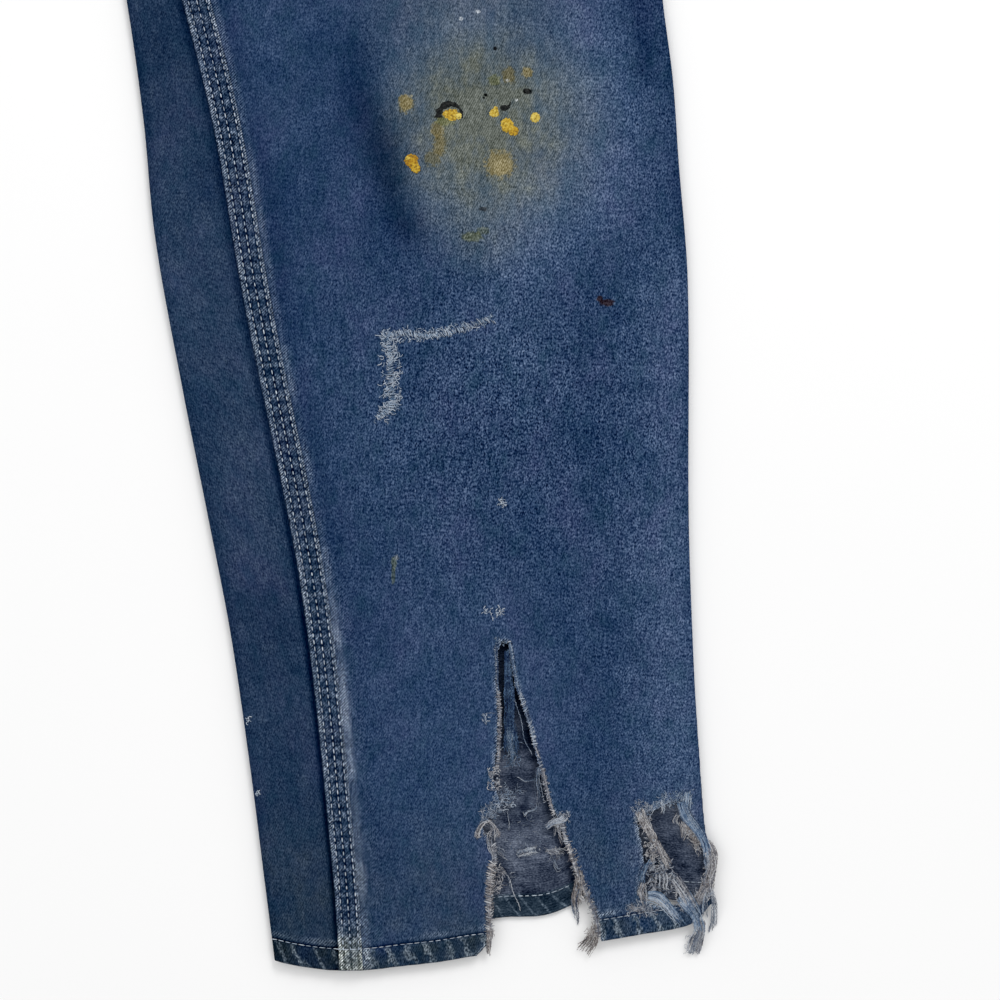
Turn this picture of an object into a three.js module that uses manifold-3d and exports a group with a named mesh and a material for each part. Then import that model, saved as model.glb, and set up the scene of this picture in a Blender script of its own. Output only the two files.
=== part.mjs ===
// Bib-and-brace denim dungarees, laid flat on their back with the front up. Units are millimetres.
// X runs across, +Y runs from the hems to the straps and +Z is up, out of the surface that the
// garment lies on. "Left" and "right" are the wearer's, so the left leg is on the +X side. The
// cloth is one flattened tube round each leg and one round the hips: a lower layer on the surface,
// an upper layer over it, and a round fold at each side. Every panel is a wall cut out of that
// tube, and panels meet at 0.3 mm gaps.
import * as THREE from "three";
import Module from "manifold-3d";
import { mergeVertices } from "three/addons/utils/BufferGeometryUtils.js";

const wasm = await Module();
wasm.setup();

// ---- Driving dimensions -------------------------------------------------------------------------
const DENIM = 1.1; // one layer of heavy denim
const BAND = 2.2; // two layers, as in the waistband
const WEBBING = 2.0; // a shoulder strap, two layers pressed flat
const LAYERS_APART = 3.7; // from the middle of the lower layer to the middle of the upper one
const SEAM_GAP = 0.3; // between pieces that are sewn together
const CROWN = 1.2; // how far the upper layer rises in the middle of a leg

const CROTCH = 815; // height of the crotch above the hem
const WAIST = 1088; // height of the waist seam
const WAISTBAND = 40; // height of the waistband
const BIB_TOP = 1400;
const BACK_TOP = 1420;
const STRAP_TOP = 1565; // where a strap folds over, at the shoulder
const STRAP_X = 90; // middle of each strap, to either side
const STRAP_WIDTH = 38;
const BUTTON_Y = 1386; // the bib buttons
const HEM = 12.5; // depth of the turned-up hem
const HEM_FADE = 170; // height above the hem where a row of cloth is level again

// Outlines, as [height, distance from the centre line].
const INNER_FOLD = [[0, 140.5], [40, 135.5], [110, 127], [180, 117], [245, 104.5], [310, 91.5],
  [395, 76], [460, 69.5], [524, 60.5], [670, 35], [CROTCH, 0.4]];
const OUTER_FOLD = [[0, 377.5], [20, 376], [60, 372.5], [100, 370.5], [170, 367], [245, 364.5],
  [372, 364], [438, 359], [481, 356], [524, 350.5], [650, 338], [800, 322], [900, 303], [1000, 277],
  [WAIST, 258], [1130, 254]];
const INSEAM = [[0, 176], [56, 172], [207, 155], [363, 124], [455, 108], [520, 92], [670, 50],
  [CROTCH, 4]];
const FELL_WIDTH = [[0, 12.5], [400, 14.5], [700, 14], [CROTCH, 7]];
// Below zero the outseam lies underneath.
const OUTSEAM_FROM_FOLD = [[0, -42], [150, -42], [440, -20], [540, -20], [830, 20], [1130, 20]];
const BIB_SIDE = [[1128, 166], [1170, 150], [1240, 133], [1320, 123], [BIB_TOP, 118]];
const BACK_SIDE = [[1128, 246], [1165, 212], [1215, 172], [1285, 138], [1360, 120], [BACK_TOP, 114]];

// The worn hem isn't level: how far it has ridden up, as [distance from the centre line, rise].
const HEM_UPPER = [[141, 5.5], [152, 3], [171, 0.5], [190, 0.5], [208, 2.5], [230, 5], [248, 8],
  [316, 16], [340, 20], [360, 23.5], [368, 27], [376, 36]];
const HEM_LOWER = [[141, 5.5], [200, 18], [262, 28.3], [286, 29.6], [301, 35], [312, 41], [330, 43],
  [360, 37], [376, 36]];

// The two tears in the left front, as outlines of the cloth that is missing.
const LONG_TEAR = [[263.5, 178.5], [261.4, 173], [260.8, 152], [261.9, 141], [261.4, 125], [259.7, 114],
  [258.7, 103], [261.4, 95], [262.4, 89], [256, 82.5], [252.7, 77], [259.7, 65], [260.8, 59], [257, 52],
  [256, 38], [256.5, 22], [256, 15], [250, 8.5], [248, -20], [322, -20], [317, 15.5], [316.4, 23],
  [313, 34], [307, 44], [302.4, 55.5], [298, 67.5], [294, 81.5], [289, 91], [284, 107.5], [280.8, 122],
  [276.5, 137.5], [272, 152], [269, 165], [267.3, 177.5]];
const CORNER_TEAR = [[336, 85], [344.5, 86], [351, 90], [357, 91.5], [362, 92], [365, 84], [369, 73.5],
  [372, 64], [373, 54.5], [372.5, 46.5], [371, 40.5], [367.5, 35], [363, 39], [357.5, 35.5], [351, 34],
  [343.5, 36.5], [338.5, 42], [338, 49], [340.5, 57], [339.5, 65], [337.5, 75]];

// ---- Colours ------------------------------------------------------------------------------------
const denim = new THREE.MeshStandardMaterial({ color: 0x304364, roughness: 0.92, metalness: 0 });
const wornDenim = new THREE.MeshStandardMaterial({ color: 0x42536f, roughness: 0.92, metalness: 0 });
const looseYarn = new THREE.MeshStandardMaterial({ color: 0xa19c90, roughness: 0.95, metalness: 0 });
const dullMetal = new THREE.MeshStandardMaterial({ color: 0x8c8678, roughness: 0.42, metalness: 0.9 });

// ---- Curves through outline points --------------------------------------------------------------
// A smooth function through [x, y] points: cubic between neighbours, with the slope at a point from
// its two sides.
function smooth(points) {
  const slope = points.map((_, i) => {
    const a = points[Math.max(i - 1, 0)];
    const b = points[Math.min(i + 1, points.length - 1)];
    return (b[1] - a[1]) / (b[0] - a[0]);
  });
  return (x) => {
    if (x <= points[0][0]) return points[0][1];
    if (x >= points.at(-1)[0]) return points.at(-1)[1];
    const i = points.findIndex((p, k) => k > 0 && x <= p[0]) - 1;
    const width = points[i + 1][0] - points[i][0];
    const t = (x - points[i][0]) / width;
    const [t2, t3] = [t * t, t * t * t];
    return (2 * t3 - 3 * t2 + 1) * points[i][1] + (t3 - 2 * t2 + t) * width * slope[i]
      + (3 * t2 - 2 * t3) * points[i + 1][1] + (t3 - t2) * width * slope[i + 1];
  };
}
const innerFold = smooth(INNER_FOLD);
const outerFold = smooth(OUTER_FOLD);
const inseam = smooth(INSEAM);
const fellWidth = smooth(FELL_WIDTH);
const outseamFromFold = smooth(OUTSEAM_FROM_FOLD);
const hemUpper = smooth(HEM_UPPER);
const hemLower = smooth(HEM_LOWER);

const ease = (t) => {
  const c = Math.min(Math.max(t, 0), 1);
  return c * c * (3 - 2 * c);
};
// The rise of the hem, fading out with height. side is +1 on the upper layer and -1 on the lower one.
const hemRise = (x, y, side) => (side > 0 ? hemUpper(x) : hemLower(x)) * (1 - ease(y / HEM_FADE));
// The crown of the upper layer: nothing at the folds and at the hem, most in the middle of the leg.
function crown(x, y) {
  const inner = y < CROTCH ? innerFold(y) : -outerFold(y);
  const across = Math.min(Math.max((x - inner) / (outerFold(y) - inner), 0), 1);
  return CROWN * Math.sin(Math.PI * across) * ease((y - 60) / 200) * ease((WAIST - y) / 120);
}

// ---- The flattened tube -------------------------------------------------------------------------
const FOLD_RADIUS = LAYERS_APART / 2;
const FOLD_LENGTH = Math.PI * FOLD_RADIUS;
const JOINT_IN_FELL = 4; // the two panels meet this far inside the felled band that covers their joint
const FELL_END = 785; // above this the joint moves round to the fold, to meet the other leg's at the crotch

// The tube's round at one height. It is measured from the middle of the inner fold (or from the
// centre line, above the crotch): across the upper layer, round the outer fold, back along the
// lower layer, and round the inner fold again.
function roundAt(y, wall = DENIM) {
  const leg = y < CROTCH;
  const outer = outerFold(y) - FOLD_RADIUS - wall / 2;
  const inner = leg ? innerFold(y) + FOLD_RADIUS + wall / 2 : SEAM_GAP / 2;
  const halfFold = leg ? FOLD_LENGTH / 2 : 0;
  const outerStart = halfFold + outer - inner;
  const lowerStart = outerStart + FOLD_LENGTH;
  const innerStart = lowerStart + outer - inner;
  const total = innerStart + halfFold;
  const toCrotch = 1 - ease((y - FELL_END) / (CROTCH - 3 - FELL_END));
  const inseamJoint = leg ? (halfFold + inseam(y) + JOINT_IN_FELL - inner) * toCrotch : 0;
  const outseam = outerStart + FOLD_LENGTH / 2 - outseamFromFold(y);
  // The point of the wall's middle surface at a place on the round, and the way out of the cloth
  // there. side is 1 on the outer fold and -1 on the inner one, and angle runs from straight down
  // to straight up.
  const onFold = (x, side, angle) => {
    const out = side * Math.sin(angle);
    const up = -Math.cos(angle);
    const at = x + FOLD_RADIUS * out;
    return { p: [at, y + hemRise(at, y, up), wall / 2 + FOLD_RADIUS * (1 + up)], n: [out, 0, up] };
  };
  const at = (place) => {
    const q = place > total ? place - total : place;
    if (q < halfFold) return onFold(inner, -1, Math.PI / 2 + q / FOLD_RADIUS);
    if (q <= outerStart) {
      const x = inner + q - halfFold;
      return { p: [x, y + hemRise(x, y, 1), wall / 2 + LAYERS_APART + crown(x, y)], n: [0, 0, 1] };
    }
    if (q < lowerStart) return onFold(outer, 1, Math.PI - (q - outerStart) / FOLD_RADIUS);
    if (q <= innerStart) {
      const x = outer - (q - lowerStart);
      return { p: [x, y + hemRise(x, y, -1), wall / 2], n: [0, 0, -1] };
    }
    return onFold(inner, -1, (q - innerStart) / FOLD_RADIUS);
  };
  return { at, outerStart, lowerStart, innerStart, total, halfFold, inseamJoint, outseam };
}

// Places along a stretch of the round: even ones, and the corners of folds, which stay in order
// where the stretch ends before it gets to them.
const LEAST = 0.9;
function stations(from, to, evenly, corners) {
  const places = [];
  for (let i = 0; i <= evenly; i++) places.push(from + ((to - from) * i) / evenly);
  corners.forEach((wanted, i) => {
    const low = from + LEAST * (i + 1) + 0.11;
    const high = to - LEAST * (corners.length - i) - 0.13;
    places.push(Math.min(Math.max(wanted, low), high));
  });
  return places.sort((a, b) => a - b);
}
const foldCorners = (start) => [0, 0.25, 0.5, 0.75, 1].map((t) => start + t * FOLD_LENGTH);

// ---- Walls --------------------------------------------------------------------------------------
// A closed wall on a grid of {p, n} points, thickness outwards and inwards along n.
function wall(rows, outwards, inwards) {
  const across = rows[0].length;
  const count = rows.length * across;
  const position = [];
  for (const move of [outwards, -inwards]) {
    for (const { p, n } of rows.flat()) position.push(...p.map((v, k) => v + move * n[k]));
  }
  const faces = [];
  const quad = (a, b, c, d) => faces.push(a, b, c, a, c, d);
  const id = (r, c, layer) => layer * count + r * across + c;
  for (let r = 0; r + 1 < rows.length; r++) {
    for (let c = 0; c + 1 < across; c++) {
      quad(id(r, c, 0), id(r, c + 1, 0), id(r + 1, c + 1, 0), id(r + 1, c, 0));
      quad(id(r, c, 1), id(r + 1, c, 1), id(r + 1, c + 1, 1), id(r, c + 1, 1));
    }
  }
  const last = [rows.length - 1, across - 1];
  for (let c = 0; c < last[1]; c++) {
    quad(id(0, c, 0), id(0, c, 1), id(0, c + 1, 1), id(0, c + 1, 0));
    quad(id(last[0], c, 0), id(last[0], c + 1, 0), id(last[0], c + 1, 1), id(last[0], c, 1));
  }
  for (let r = 0; r < last[0]; r++) {
    quad(id(r, 0, 0), id(r + 1, 0, 0), id(r + 1, 0, 1), id(r, 0, 1));
    quad(id(r, last[1], 0), id(r, last[1], 1), id(r + 1, last[1], 1), id(r + 1, last[1], 0));
  }
  const geometry = new THREE.BufferGeometry();
  geometry.setAttribute("position", new THREE.Float32BufferAttribute(position, 3));
  geometry.setIndex(faces);
  return outFacing(geometry);
}

// The same geometry with its faces turned if they point inwards.
function outFacing(geometry) {
  const [p, index] = [geometry.attributes.position, geometry.index.array];
  const [a, b, c] = [new THREE.Vector3(), new THREE.Vector3(), new THREE.Vector3()];
  let volume = 0;
  for (let i = 0; i < index.length; i += 3) {
    a.fromBufferAttribute(p, index[i]);
    b.fromBufferAttribute(p, index[i + 1]);
    c.fromBufferAttribute(p, index[i + 2]);
    volume += a.dot(b.cross(c));
  }
  if (volume < 0) geometry.setIndex(Array.from(index).reverse());
  return geometry;
}

// The mirror image of a geometry about the centre line.
function mirrored(geometry) {
  const copy = geometry.clone().applyMatrix4(new THREE.Matrix4().makeScale(-1, 1, 1));
  return outFacing(copy.index ? copy : mergeVertices(copy, 1e-4));
}

function solidOf(geometry) {
  const plain = new THREE.BufferGeometry().setAttribute("position", geometry.attributes.position);
  if (geometry.index) plain.setIndex(geometry.index);
  const merged = mergeVertices(plain, 1e-4);
  return new wasm.Manifold(new wasm.Mesh({
    numProp: 3,
    vertProperties: new Float32Array(merged.attributes.position.array),
    triVerts: new Uint32Array(merged.index.array),
  }));
}

function geometryOf(solid) {
  const { vertProperties, triVerts } = solid.getMesh();
  const geometry = new THREE.BufferGeometry();
  geometry.setAttribute("position", new THREE.BufferAttribute(vertProperties, 3));
  geometry.setIndex(new THREE.BufferAttribute(triVerts, 1));
  return geometry;
}

// A flat plate of an outline in X and Y, from one height to another.
function plate(outline, low, high) {
  const shape = new THREE.Shape(outline.map(([x, y]) => new THREE.Vector2(x, y)));
  const geometry = new THREE.ExtrudeGeometry(shape, { depth: high - low, bevelEnabled: false });
  return geometry.translate(0, 0, low);
}

// ---- Trousers -----------------------------------------------------------------------------------
// Heights of the panels' rows, close together where the outseam goes round the outer fold.
const ROWS = [0, HEM, 45, 95, 150, 210, 280, 360, 440, 520, 600, 652, 664, 671, 678, 685, 692, 699,
  706, 718, 765, 800, 812, 822, 870, 940, 1015, WAIST - SEAM_GAP];
const EVEN_COLUMNS = 8;
// The gap at the inseam, wider where four seams come together at the crotch.
const jointGap = (y) => (y > CROTCH ? 0 : SEAM_GAP * (y > FELL_END ? 4 : 1));

// Near the crotch the front reaches round the inner fold, and three of its even columns go there.
const frontRows = ROWS.map((y) => {
  const { at, outerStart, halfFold, inseamJoint, outseam } = roundAt(y);
  const roundInner = inseamJoint < halfFold;
  const innerCorners = roundInner ? [1, 2, 3].map((i) => (i * halfFold) / 3) : [];
  const corners = [...innerCorners, ...foldCorners(outerStart)];
  return stations(inseamJoint, outseam, EVEN_COLUMNS - innerCorners.length, corners).map(at);
});
const backRows = ROWS.map((y) => {
  const { at, outerStart, innerStart, total, inseamJoint, outseam } = roundAt(y);
  const end = total + inseamJoint - jointGap(y);
  const corners = [...foldCorners(outerStart), ...foldCorners(innerStart)];
  return stations(outseam + SEAM_GAP, end, EVEN_COLUMNS, corners).map(at);
});
const half = DENIM / 2;
const frontPanel = wall(frontRows, half, half);
const backPanel = wall(backRows, half, half);

// The left front has the two tears, cut through the upper layer only.
const ABOVE_LOWER_LAYER = DENIM + 0.6;
const CLEAR_OF_TOP = 20;
const tornFront = geometryOf(
  solidOf(frontPanel)
    .subtract(solidOf(plate(LONG_TEAR, ABOVE_LOWER_LAYER, CLEAR_OF_TOP)))
    .subtract(solidOf(plate(CORNER_TEAR, ABOVE_LOWER_LAYER, CLEAR_OF_TOP))),
);

// ---- Strips that lie on the upper layer ---------------------------------------------------------
// Height of the cloth's upper face.
const upperFace = (x, y) => DENIM + LAYERS_APART + crown(Math.abs(x), y);
// A strip between two edges, each a function of height, resting SEAM_GAP above the cloth.
function strip(heights, left, right, thick, columns) {
  return wall(heights.map((y) => {
    const row = [];
    for (let c = 0; c <= columns; c++) {
      const x = left(y) + ((right(y) - left(y)) * c) / columns;
      const rise = y < HEM_FADE ? hemRise(Math.abs(x), y, 1) : 0;
      row.push({ p: [x, y + rise, upperFace(x, y) + SEAM_GAP], n: [0, 0, 1] });
    }
    return row;
  }), thick, 0);
}
const FELL = 1.5; // how far a felled seam stands above the cloth
const inseamRows = [0.5, HEM, 60, 130, 210, 290, 370, 450, 520, 600, 680, 750, 790];
const inseamFell = strip(inseamRows, inseam, (y) => inseam(y) + fellWidth(y), FELL, 2);
const riseRows = [834, 900, 960, 1020, WAIST - SEAM_GAP];
const riseFell = strip(riseRows, () => -7, () => 7, FELL, 2);

// The side openings: the front's doubled edge laps over the back and buttons down.
const PLACKET = { low: 925, high: WAIST - SEAM_GAP, lap: 6, facing: 24, thick: 1.6 };
const pastFold = (y) => outseamFromFold(y) - (Math.PI * FOLD_RADIUS) / 2;
const sideJoint = (y) => outerFold(y) - half - FOLD_RADIUS - pastFold(y);
const placketRows = [0, 0.25, 0.5, 0.75, 1].map((t) => PLACKET.low + t * (PLACKET.high - PLACKET.low));
const placket = strip(
  placketRows, (y) => sideJoint(y) - PLACKET.facing, (y) => sideJoint(y) + PLACKET.lap, PLACKET.thick, 2);

// ---- Waistband, bib and back --------------------------------------------------------------------
const BAND_LOW = WAIST;
const BAND_HIGH = WAIST + WAISTBAND;
const bandRows = [0, 0.5, 1].map((t) => BAND_LOW + t * (BAND_HIGH - BAND_LOW));
const bandMiddle = BAND / 2 + LAYERS_APART;
const bandEnd = (y) => outerFold(y) - FOLD_RADIUS - BAND / 2 - pastFold(y);

const frontBand = wall(bandRows.map((y) => {
  const row = [];
  const COLUMNS = 8;
  for (let c = 0; c <= COLUMNS; c++) {
    row.push({ p: [bandEnd(y) * ((2 * c) / COLUMNS - 1), y, bandMiddle], n: [0, 0, 1] });
  }
  return row;
}), BAND / 2, BAND / 2);

const backBand = wall(bandRows.map((y) => {
  const { at, outerStart, innerStart, outseam } = roundAt(y, BAND);
  const side = stations(outseam + SEAM_GAP, innerStart, 4, foldCorners(outerStart)).map(at);
  const other = side.map(({ p, n }) => ({ p: [-p[0], p[1], p[2]], n: [-n[0], n[1], n[2]] })).reverse();
  return [...side.slice(0, -1), ...other.slice(1)];
}), BAND / 2, BAND / 2);

// A flat panel between two mirrored sides, its lower face at a height.
function flatPanel(low, high, side, face, rows, columns) {
  const heights = Array.from({ length: rows + 1 }, (_, r) => low + ((high - low) * r) / rows);
  return wall(heights.map((y) => {
    const row = [];
    for (let c = 0; c <= columns; c++) {
      row.push({ p: [side(y) * ((2 * c) / columns - 1), y, face + half], n: [0, 0, 1] });
    }
    return row;
  }), half, half);
}
const bibFace = LAYERS_APART;
const bib = flatPanel(BAND_HIGH + SEAM_GAP, BIB_TOP, smooth(BIB_SIDE), bibFace, 8, 4);
const backBib = flatPanel(BAND_HIGH + SEAM_GAP, BACK_TOP, smooth(BACK_SIDE), 0, 10, 4);

// ---- Metal fittings: sizes that the strap is threaded through -----------------------------------
const WIRE = 1.3; // radius of the clasp's wire
const CLASP_Z = 6.4;
const CLASP_BAR_Y = 1436;
const SLIDER = { y: 1478, z: 7.7, thick: 1.6, bar: 3, slot: 7, inside: 40, outside: 46 };
const THREADING = WEBBING / 2 + SEAM_GAP; // from a bar's face to the middle of the webbing that passes it

// ---- Straps -------------------------------------------------------------------------------------
// The middle line of a strap seen from the side, as [y, z]: sewn on the back bib, over the shoulder
// fold, through the slider, round the clasp's bar and back under to the slider's middle bar.
function strapLine() {
  const onBack = DENIM + SEAM_GAP + WEBBING / 2;
  const onFloor = WEBBING / 2;
  const under = SLIDER.z - SLIDER.thick / 2 - THREADING;
  const over = SLIDER.z + SLIDER.thick / 2 + THREADING;
  const returning = under - WEBBING - SEAM_GAP;
  const foldRadius = (under - onFloor) / 2;
  const foldY = STRAP_TOP - foldRadius - WEBBING / 2;
  const claspTurn = WIRE + THREADING;
  const barStep = SLIDER.bar + SLIDER.slot;
  const line = [[BACK_TOP - 35, onBack], [BACK_TOP + 1, onBack], [BACK_TOP + 14, onFloor]];
  const arc = (y, z, radius, from, to, steps) => {
    for (let i = 0; i <= steps; i++) {
      const a = from + ((to - from) * i) / steps;
      line.push([y + radius * Math.cos(a), z + radius * Math.sin(a)]);
    }
  };
  arc(foldY, onFloor + foldRadius, foldRadius, -Math.PI / 2, Math.PI / 2, 8);
  const crest = SLIDER.bar / 2 + 1;
  line.push([SLIDER.y + barStep - crest + 0.4, under], [SLIDER.y + crest, over], [SLIDER.y - crest, over]);
  line.push([SLIDER.y - barStep + crest - 0.4, under], [SLIDER.y - barStep - crest, under]);
  line.push([CLASP_BAR_Y + 9, CLASP_Z + claspTurn - 0.2]);
  arc(CLASP_BAR_Y, CLASP_Z, claspTurn, Math.PI / 2, (3 * Math.PI) / 2, 8);
  line.push([CLASP_BAR_Y + 10, returning], [SLIDER.y + 3, returning]);
  return line;
}
// The outline of a band of even width along a line, with mitred corners.
function ribbonOutline(line, width) {
  const sides = [[], []];
  line.forEach((point, i) => {
    const before = line[Math.max(i - 1, 0)];
    const after = line[Math.min(i + 1, line.length - 1)];
    const unit = (a, b) => new THREE.Vector2(b[0] - a[0], b[1] - a[1]).normalize();
    const one = i ? unit(before, point) : unit(point, after);
    const two = i + 1 < line.length ? unit(point, after) : unit(before, point);
    const normal = new THREE.Vector2(-(one.y + two.y), one.x + two.x).normalize();
    const mitre = width / 2 / normal.dot(new THREE.Vector2(-one.y, one.x));
    sides[0].push([point[0] + normal.x * mitre, point[1] + normal.y * mitre]);
    sides[1].push([point[0] - normal.x * mitre, point[1] - normal.y * mitre]);
  });
  return [...sides[0], ...sides[1].reverse()];
}
function strap() {
  const geometry = plate(ribbonOutline(strapLine(), WEBBING), -STRAP_WIDTH / 2, STRAP_WIDTH / 2);
  // The outline's two directions are the garment's Y and Z, and the thickness runs along X.
  return geometry.applyMatrix4(new THREE.Matrix4().set(0, 0, 1, 0, 1, 0, 0, 0, 0, 1, 0, 0, 0, 0, 0, 1));
}

// ---- Fittings -----------------------------------------------------------------------------------
// The clasp: one closed wire, a wide bar for the strap above a slot that narrows to hold the button's neck.
const NECK = 3; // radius of a button's neck
const HEAD = 8.5; // radius of a button's head
function clasp() {
  const slot = NECK + WIRE + 0.5;
  const drop = CLASP_BAR_Y - BUTTON_Y;
  const halfBar = STRAP_WIDTH / 2 + 2.6;
  const right = [[halfBar - 2, 0], [halfBar, -2.5], [halfBar - 1, -9], [halfBar - 6, -17], [13, -26],
    [9, -34]];
  const quarter = [0, 0.25, 0.5, 0.75, 1].map((t) => (t * Math.PI) / 2);
  const neck = quarter.map((turn) => [slot * Math.cos(turn), -drop - slot * Math.sin(turn)]);
  const side = [...right, [slot + 1, -drop + 8], ...neck];
  const other = side.slice(0, -1).map(([x, y]) => [-x, y]).reverse();
  const bar = [-halfBar + 6, -8, 8, halfBar - 6].map((x) => [x, 0]);
  const points = [...side, ...other, ...bar].map(([x, y]) => new THREE.Vector3(x, y, 0));
  const path = new THREE.CatmullRomCurve3(points, true, "centripetal");
  return new THREE.TubeGeometry(path, 64, WIRE, 8, true);
}
function slider() {
  const frame = new THREE.Shape();
  const [w, h] = [SLIDER.outside / 2, SLIDER.bar * 1.5 + SLIDER.slot];
  frame.moveTo(-w + 2, -h).lineTo(w - 2, -h).lineTo(w, -h + 2).lineTo(w, h - 2);
  frame.lineTo(w - 2, h).lineTo(-w + 2, h).lineTo(-w, h - 2).lineTo(-w, -h + 2).closePath();
  for (const side of [-1, 1]) {
    const middle = (side * (SLIDER.bar + SLIDER.slot)) / 2;
    const [x, low, high] = [SLIDER.inside / 2, middle - SLIDER.slot / 2, middle + SLIDER.slot / 2];
    const slot = new THREE.Path();
    slot.moveTo(-x, low).lineTo(-x, high).lineTo(x, high).lineTo(x, low).closePath();
    frame.holes.push(slot);
  }
  return new THREE.ExtrudeGeometry(frame, { depth: SLIDER.thick, bevelEnabled: false })
    .translate(0, 0, -SLIDER.thick / 2);
}
// A tack button standing on the cloth: a neck and a shallow domed head. Heights are from the neck's foot.
function button(neckHeight) {
  const rim = [[HEAD - 0.6, 0], [HEAD, 0.7], [HEAD - 0.3, 1.5], [HEAD - 2.5, 2.1], [0, 2.3]];
  const profile = [[0, 0], [NECK, 0], [NECK, neckHeight], ...rim.map(([r, z]) => [r, neckHeight + z])];
  const turned = new THREE.LatheGeometry(profile.map(([r, z]) => new THREE.Vector2(r, z)), 20);
  return turned.rotateX(Math.PI / 2);
}

// ---- Loose yarn at the tears: a plain solid of the reach of each fringe -------------------------
const YARN = { low: 3.9, high: 4.6 }; // in the thickness of the torn upper layer
const frayLongInner = plate([[262, 160], [264.5, 160], [265, 112], [264.5, 97], [265.5, 88], [262, 79],
  [264.5, 66], [264, 56], [262, 40], [262, 20], [258.5, 8], [256.5, 8], [257.5, 22], [257.2, 38],
  [258.2, 51.6], [262, 59], [261, 65.5], [254.2, 77], [257, 81.8], [263.6, 88.6], [262.6, 95.4],
  [260, 103], [261, 114], [262.6, 125], [263, 141]], YARN.low, YARN.high);
const frayLongOuter = plate([[271, 151.6], [275.4, 137], [279.6, 121.6], [282.8, 107], [287.8, 90.6],
  [292.8, 81], [296.8, 67], [301.2, 55], [305.8, 43.4], [311.8, 33.4], [315.2, 22.6], [315.4, 15],
  [308, 17], [306, 33], [299, 44], [295, 55], [291, 67], [287, 81], [282, 90], [278.5, 107],
  [275.5, 122], [271.5, 137], [268.5, 151]], YARN.low, YARN.high);
const frayCorner = plate([[338.4, 83.4], [344, 84.4], [344.4, 75], [349, 62], [355, 50], [361, 42.4],
  [357, 37.4], [351, 35.6], [344, 38], [340, 43], [339.6, 49], [342, 57], [341, 65.4],
  [339, 75]].reverse(), YARN.low, YARN.high);
// The tassel hangs from the corner tear over the hem, so it lies on the cloth.
const tasselLow = DENIM + LAYERS_APART + SEAM_GAP;
const tasselOutline = [[361, 34], [371, 34], [375, 26], [372, 15], [364, 13], [361, 24]].reverse();
const tassel = plate(tasselOutline, tasselLow, tasselLow + 1);

// ---- Assembly -----------------------------------------------------------------------------------
const garment = new THREE.Group();
function add(name, geometry, material, x = 0, y = 0, z = 0) {
  const mesh = new THREE.Mesh(geometry, material);
  mesh.name = name;
  mesh.position.set(x, y, z);
  garment.add(mesh);
}
add("leg_front_left", tornFront, denim);
add("leg_front_right", mirrored(frontPanel), denim);
add("leg_back_left", backPanel, denim);
add("leg_back_right", mirrored(backPanel), denim);
add("fell_inseam_left", inseamFell, wornDenim);
add("fell_inseam_right", mirrored(inseamFell), wornDenim);
add("fell_front_rise", riseFell, wornDenim);
add("placket_left", placket, denim);
add("placket_right", mirrored(placket), denim);
add("waistband_front", frontBand, denim);
add("waistband_back", backBand, denim);
add("bib_front", bib, denim);
add("bib_back", backBib, denim);
add("fray_long_tear_inner", frayLongInner, looseYarn);
add("fray_long_tear_outer", frayLongOuter, looseYarn);
add("fray_corner_tear", frayCorner, looseYarn);
add("fray_tassel", tassel, looseYarn);

const onBib = bibFace + DENIM + SEAM_GAP;
const bibButtonNeck = CLASP_Z + WIRE + SEAM_GAP - onBib;
const NECK_ON_CLOTH = 1.4;
for (const [name, side] of [["left", 1], ["right", -1]]) {
  add(`strap_${name}`, strap(), denim, side * STRAP_X);
  add(`slider_${name}`, slider(), dullMetal, side * STRAP_X, SLIDER.y, SLIDER.z);
  add(`clasp_${name}`, clasp(), dullMetal, side * STRAP_X, CLASP_BAR_Y, CLASP_Z);
  add(`bib_button_${name}`, button(bibButtonNeck), dullMetal, side * STRAP_X, BUTTON_Y, onBib);
  const placketY = 985;
  const onPlacket = sideJoint(placketY) - 10;
  add(`side_button_low_${name}`, button(NECK_ON_CLOTH), dullMetal, side * onPlacket, placketY,
    upperFace(onPlacket, placketY) + 2 * SEAM_GAP + PLACKET.thick + 0.2);
  const bandY = (BAND_LOW + BAND_HIGH) / 2;
  add(`side_button_high_${name}`, button(NECK_ON_CLOTH), dullMetal, side * (bandEnd(bandY) - 12), bandY,
    bandMiddle + BAND / 2 + SEAM_GAP);
}

// The origin is under the middle of the whole garment.
const box = new THREE.Box3().setFromObject(garment);
garment.position.set(0, -(box.min.y + box.max.y) / 2, -box.min.z);

export default garment;
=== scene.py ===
"""Looks of a pair of worn, paint spattered denim dungarees, laid flat with the front up.

Sizes are millimetres in the garment's own measures until place() turns them into the frame's metres. X runs
across from the centre line, Y up from the hems to the straps, and Z up from the surface that it lies on.
"""

import math
import bpy
import numpy as np
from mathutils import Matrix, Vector, geometry
from mathutils.bvhtree import BVHTree


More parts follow.
